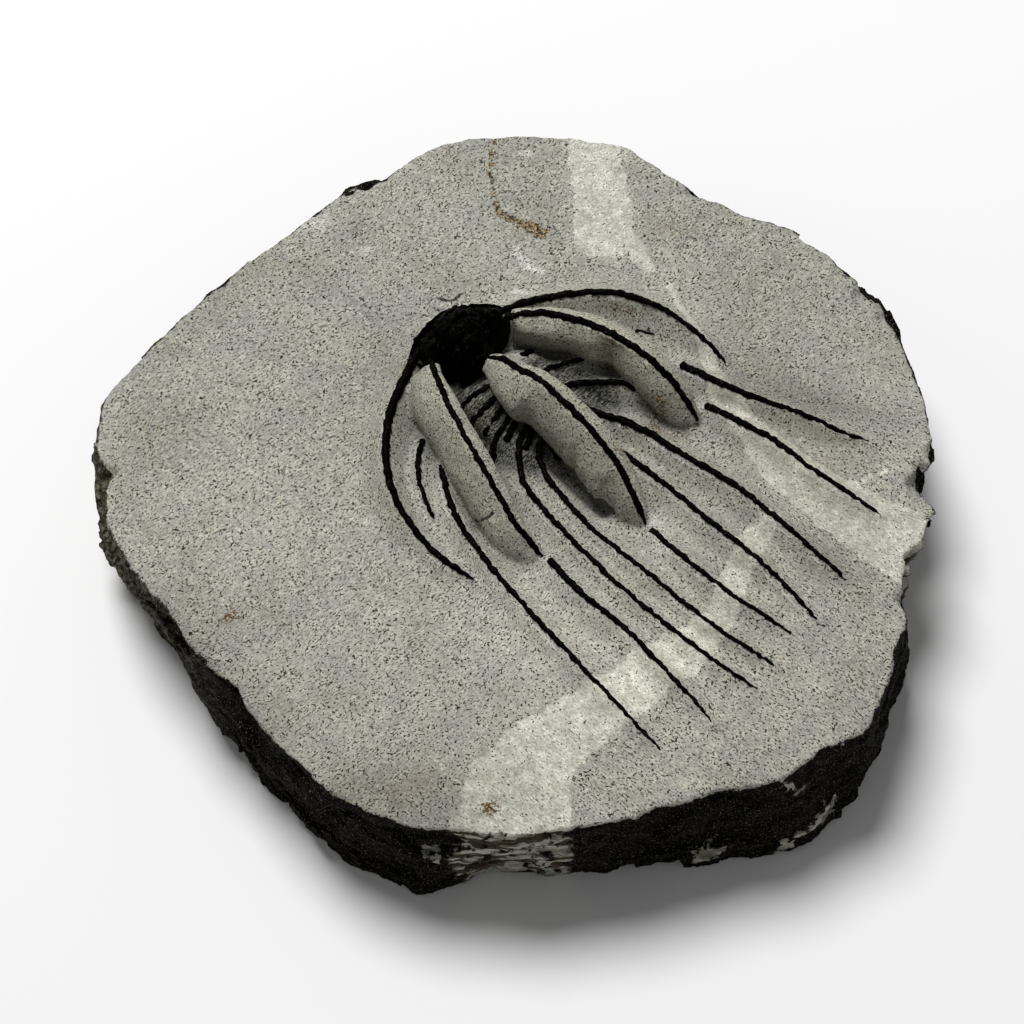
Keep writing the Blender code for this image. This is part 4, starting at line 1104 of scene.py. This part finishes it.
def limestone_material():
    """Speckled grey limestone with veins, stains, painted light and shade, black broken sides and a sawn
    underside.
    """
    s = Surface("limestone")
    s.height = s.value("ShaderNodeSeparateXYZ", {0: s.place}, 2)
    s.patches = s.noise(7.5, 3.0, 0.55)
    s.mottle = s.noise(1.8, 3.0, 0.6)
    s.grain = s.noise(0.22, 1.0, 0.6)
    s.tint = s.patches * 0.4 + s.mottle * 0.6
    warp = s.vector("SUBTRACT", s.noise(4.0, 1.0, output="Color"), (0.5, 0.5, 0.5))
    s.warped = s.vector("ADD", s.place, s.vector("SCALE", warp, 0.6))
    s.edge = s.wander(1.6, 3.0, 0.6, 2.6)
    s.vein = s.step(s.mark("vein") + s.edge, -0.15, 0.2)
    lay_ground(s)
    lay_grains(s)
    lay_stains(s)
    lay_shadows(s)
    broken, skin = broken_side(s)
    colour = s.mix(broken, s.lit(s.colour, s.light), skin)
    saw = s.step(s.grains(12, 60.0, 0.7, 2.0), 0.35, 0.65, 0.8, 1.1)
    sawn = s.lit(s.mix(s.step(s.tint, 0.4, 0.6), grey(0.16), grey(0.22, 0.04)), saw)
    colour = s.mix(s.step(s.height, 0.45, 0.2), colour, sawn)
    # The bump is worked out three times over, so it has few nodes of its own
    rough = s.noise(0.8, 3.0, 0.7) * s.step(s.mark("break"), 0.0, 0.6, 0.0, 0.42)
    bump = s.grain * 0.055 + s.mottle * 0.13 + rough
    return s.finish(colour, s.step(broken, 0.0, 1.0, 0.9, 0.7), bump, 0.02)


def fossil_material():
    s = Surface("fossil")
    patches = s.noise(1.6, 3.0, 0.6)
    grain = s.noise(0.3, 2.0, 0.6)
    colour = s.mix(s.step(patches, 0.4, 0.7), FOSSIL_BLACK, FOSSIL_WORN)
    # Flecks of dust and painted glints
    dust_and_glints = s.step(grain, 0.58, 0.7) * s.step(patches, 0.48, 0.62)
    colour = s.mix(dust_and_glints * 0.7, colour, FOSSIL_DUST_AND_GLINTS)
    roughness = s.step(grain, 0.3, 0.7, 0.3, 0.6)
    return s.finish(colour, roughness, grain * 0.12 + patches * 0.15, 0.02)


def paper_material():
    s = Surface("paper")
    s.shader.inputs["Base Color"].default_value = (0.96, 0.96, 0.96, 1)
    s.shader.inputs["Roughness"].default_value = 0.9
    return s.material


# Camera, light and floor

CAMERA_ELEVATION = math.radians(62.0)
CAMERA_DISTANCE = 460.0
CAMERA_AIM = (0.0, -5.0, 22.0)
PIXELS_PER_MM = 6.46  # at the aim
IMAGE_WIDTH = 1024
SENSOR = 36.0
WORLD_LIGHT = 0.18
LAMP_POWER = 24.0
# In metres
LAMP_PLACE = (-0.35, 0.66, 1.41)
LAMP_AIM = (0.0, 0.0, 0.02)
LAMP_SIZE = 0.74
FLOOR_HALF = 3.0
FLOOR_DROP = 0.0002  # gap under the slab, so that the two faces don't mix


def build_camera():
    data = bpy.data.cameras.new("camera")
    data.sensor_width = SENSOR
    data.lens = PIXELS_PER_MM * CAMERA_DISTANCE / IMAGE_WIDTH * SENSOR
    camera = new_object("camera", data)
    toward = Vector((0, -math.cos(CAMERA_ELEVATION), math.sin(CAMERA_ELEVATION)))
    camera.location = (Vector(CAMERA_AIM) + toward * CAMERA_DISTANCE) * MM
    camera.rotation_euler = (math.pi / 2 - CAMERA_ELEVATION, 0, 0)
    bpy.context.scene.camera = camera


def build_lamp():
    data = bpy.data.lights.new("key", "AREA")
    data.shape = "DISK"
    data.size = LAMP_SIZE
    data.energy = LAMP_POWER
    lamp = new_object("key", data)
    lamp.location = LAMP_PLACE
    towards = Vector(LAMP_AIM) - Vector(LAMP_PLACE)
    lamp.rotation_euler = towards.to_track_quat("-Z", "Y").to_euler()


def build_stage():
    half = FLOOR_HALF
    corners = [(-half, -half, 0), (half, -half, 0), (half, half, 0), (-half, half, 0)]
    floor = mesh_object("floor", corners, [(0, 1, 2, 3)])
    floor.location.z = -FLOOR_DROP
    floor.data.materials.append(paper_material())
    world = bpy.data.worlds.new("studio")
    world.use_nodes = True
    background = world.node_tree.nodes["Background"]
    background.inputs["Color"].default_value = (1, 1, 1, 1)
    background.inputs["Strength"].default_value = WORLD_LIGHT
    bpy.context.scene.world = world
    bpy.context.scene.view_settings.view_transform = "Standard"


# The whole model

def dress(piece, material, slot, *nodes):
    """Gives a piece its material and its place in the frame."""
    piece.data.materials.clear()
    piece.data.materials.append(material)
    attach(piece, "root")
    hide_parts(*nodes)


def build_rock(xs, ys, zs, ground):
    field = rock_field(xs, ys, zs, ground)
    rock = surface_object("rock", field, GRID_LOW, VOXEL, ROCK_TRIANGLES)
    top_index = len(zs) - 1 - np.argmax(field[:, :, ::-1] < 0, axis=2)
    surface = np.where((field < 0).any(axis=2), zs[top_index], SLAB_THICKNESS)
    mark_rock(rock, surface, xs, ys)
    return rock


def list_spines(draped):
    """Name, radius, points and share left at the tip of each spine and rib."""
    for name, (radius, points) in RIDGE_SPINES.items():
        yield name, radius, points, FIN_TIP if name.startswith("hollow") else RIDGE_TIP
    for side, shape in FINS.items():
        yield "fin_spine_" + side, *shape["spine"], FIN_TIP
    for number, points in enumerate(RIBS, 1):
        yield "thorax_rib_%d" % number, RIB_RADIUS, draped(points, RIB_LIFT), FIN_TIP
    yield "rib_stub_right", RIB_RADIUS, draped(RIB_STUB_RIGHT, RIB_LIFT), FIN_TIP
    radius, points = SPINE_FRAGMENT
    yield "spine_fragment", radius, draped(points, 0.0), RIDGE_TIP


def main():
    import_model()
    build_camera()
    build_lamp()
    fossil = fossil_material()
    xs, ys, zs = (np.arange(low, high, VOXEL) for low, high in zip(GRID_LOW, GRID_HIGH))
    ground = relief(xs, ys)
    dress(build_rock(xs, ys, zs, ground), limestone_material(), "limestone", "matrix")
    dress(build_head(), fossil, "fossil", "head_shield")

    def draped(points, lift):
        x, y = np.array(points, float).T
        return list(zip(x, y, sample(ground, xs, ys, x, y) + lift))

    for number, (name, radius, points, tip) in enumerate(list_spines(draped)):
        points = rooted(points) if name in HEAD_ROOTED else points
        seed = FIRST_SPINE_SEED + 10 * number
        tube = fossil_tube(name, radius, points, tip, FREE_ROOTS.get(name, 1.0), seed)
        dress(tube, fossil, "fossil", name)
    build_stage()


main()
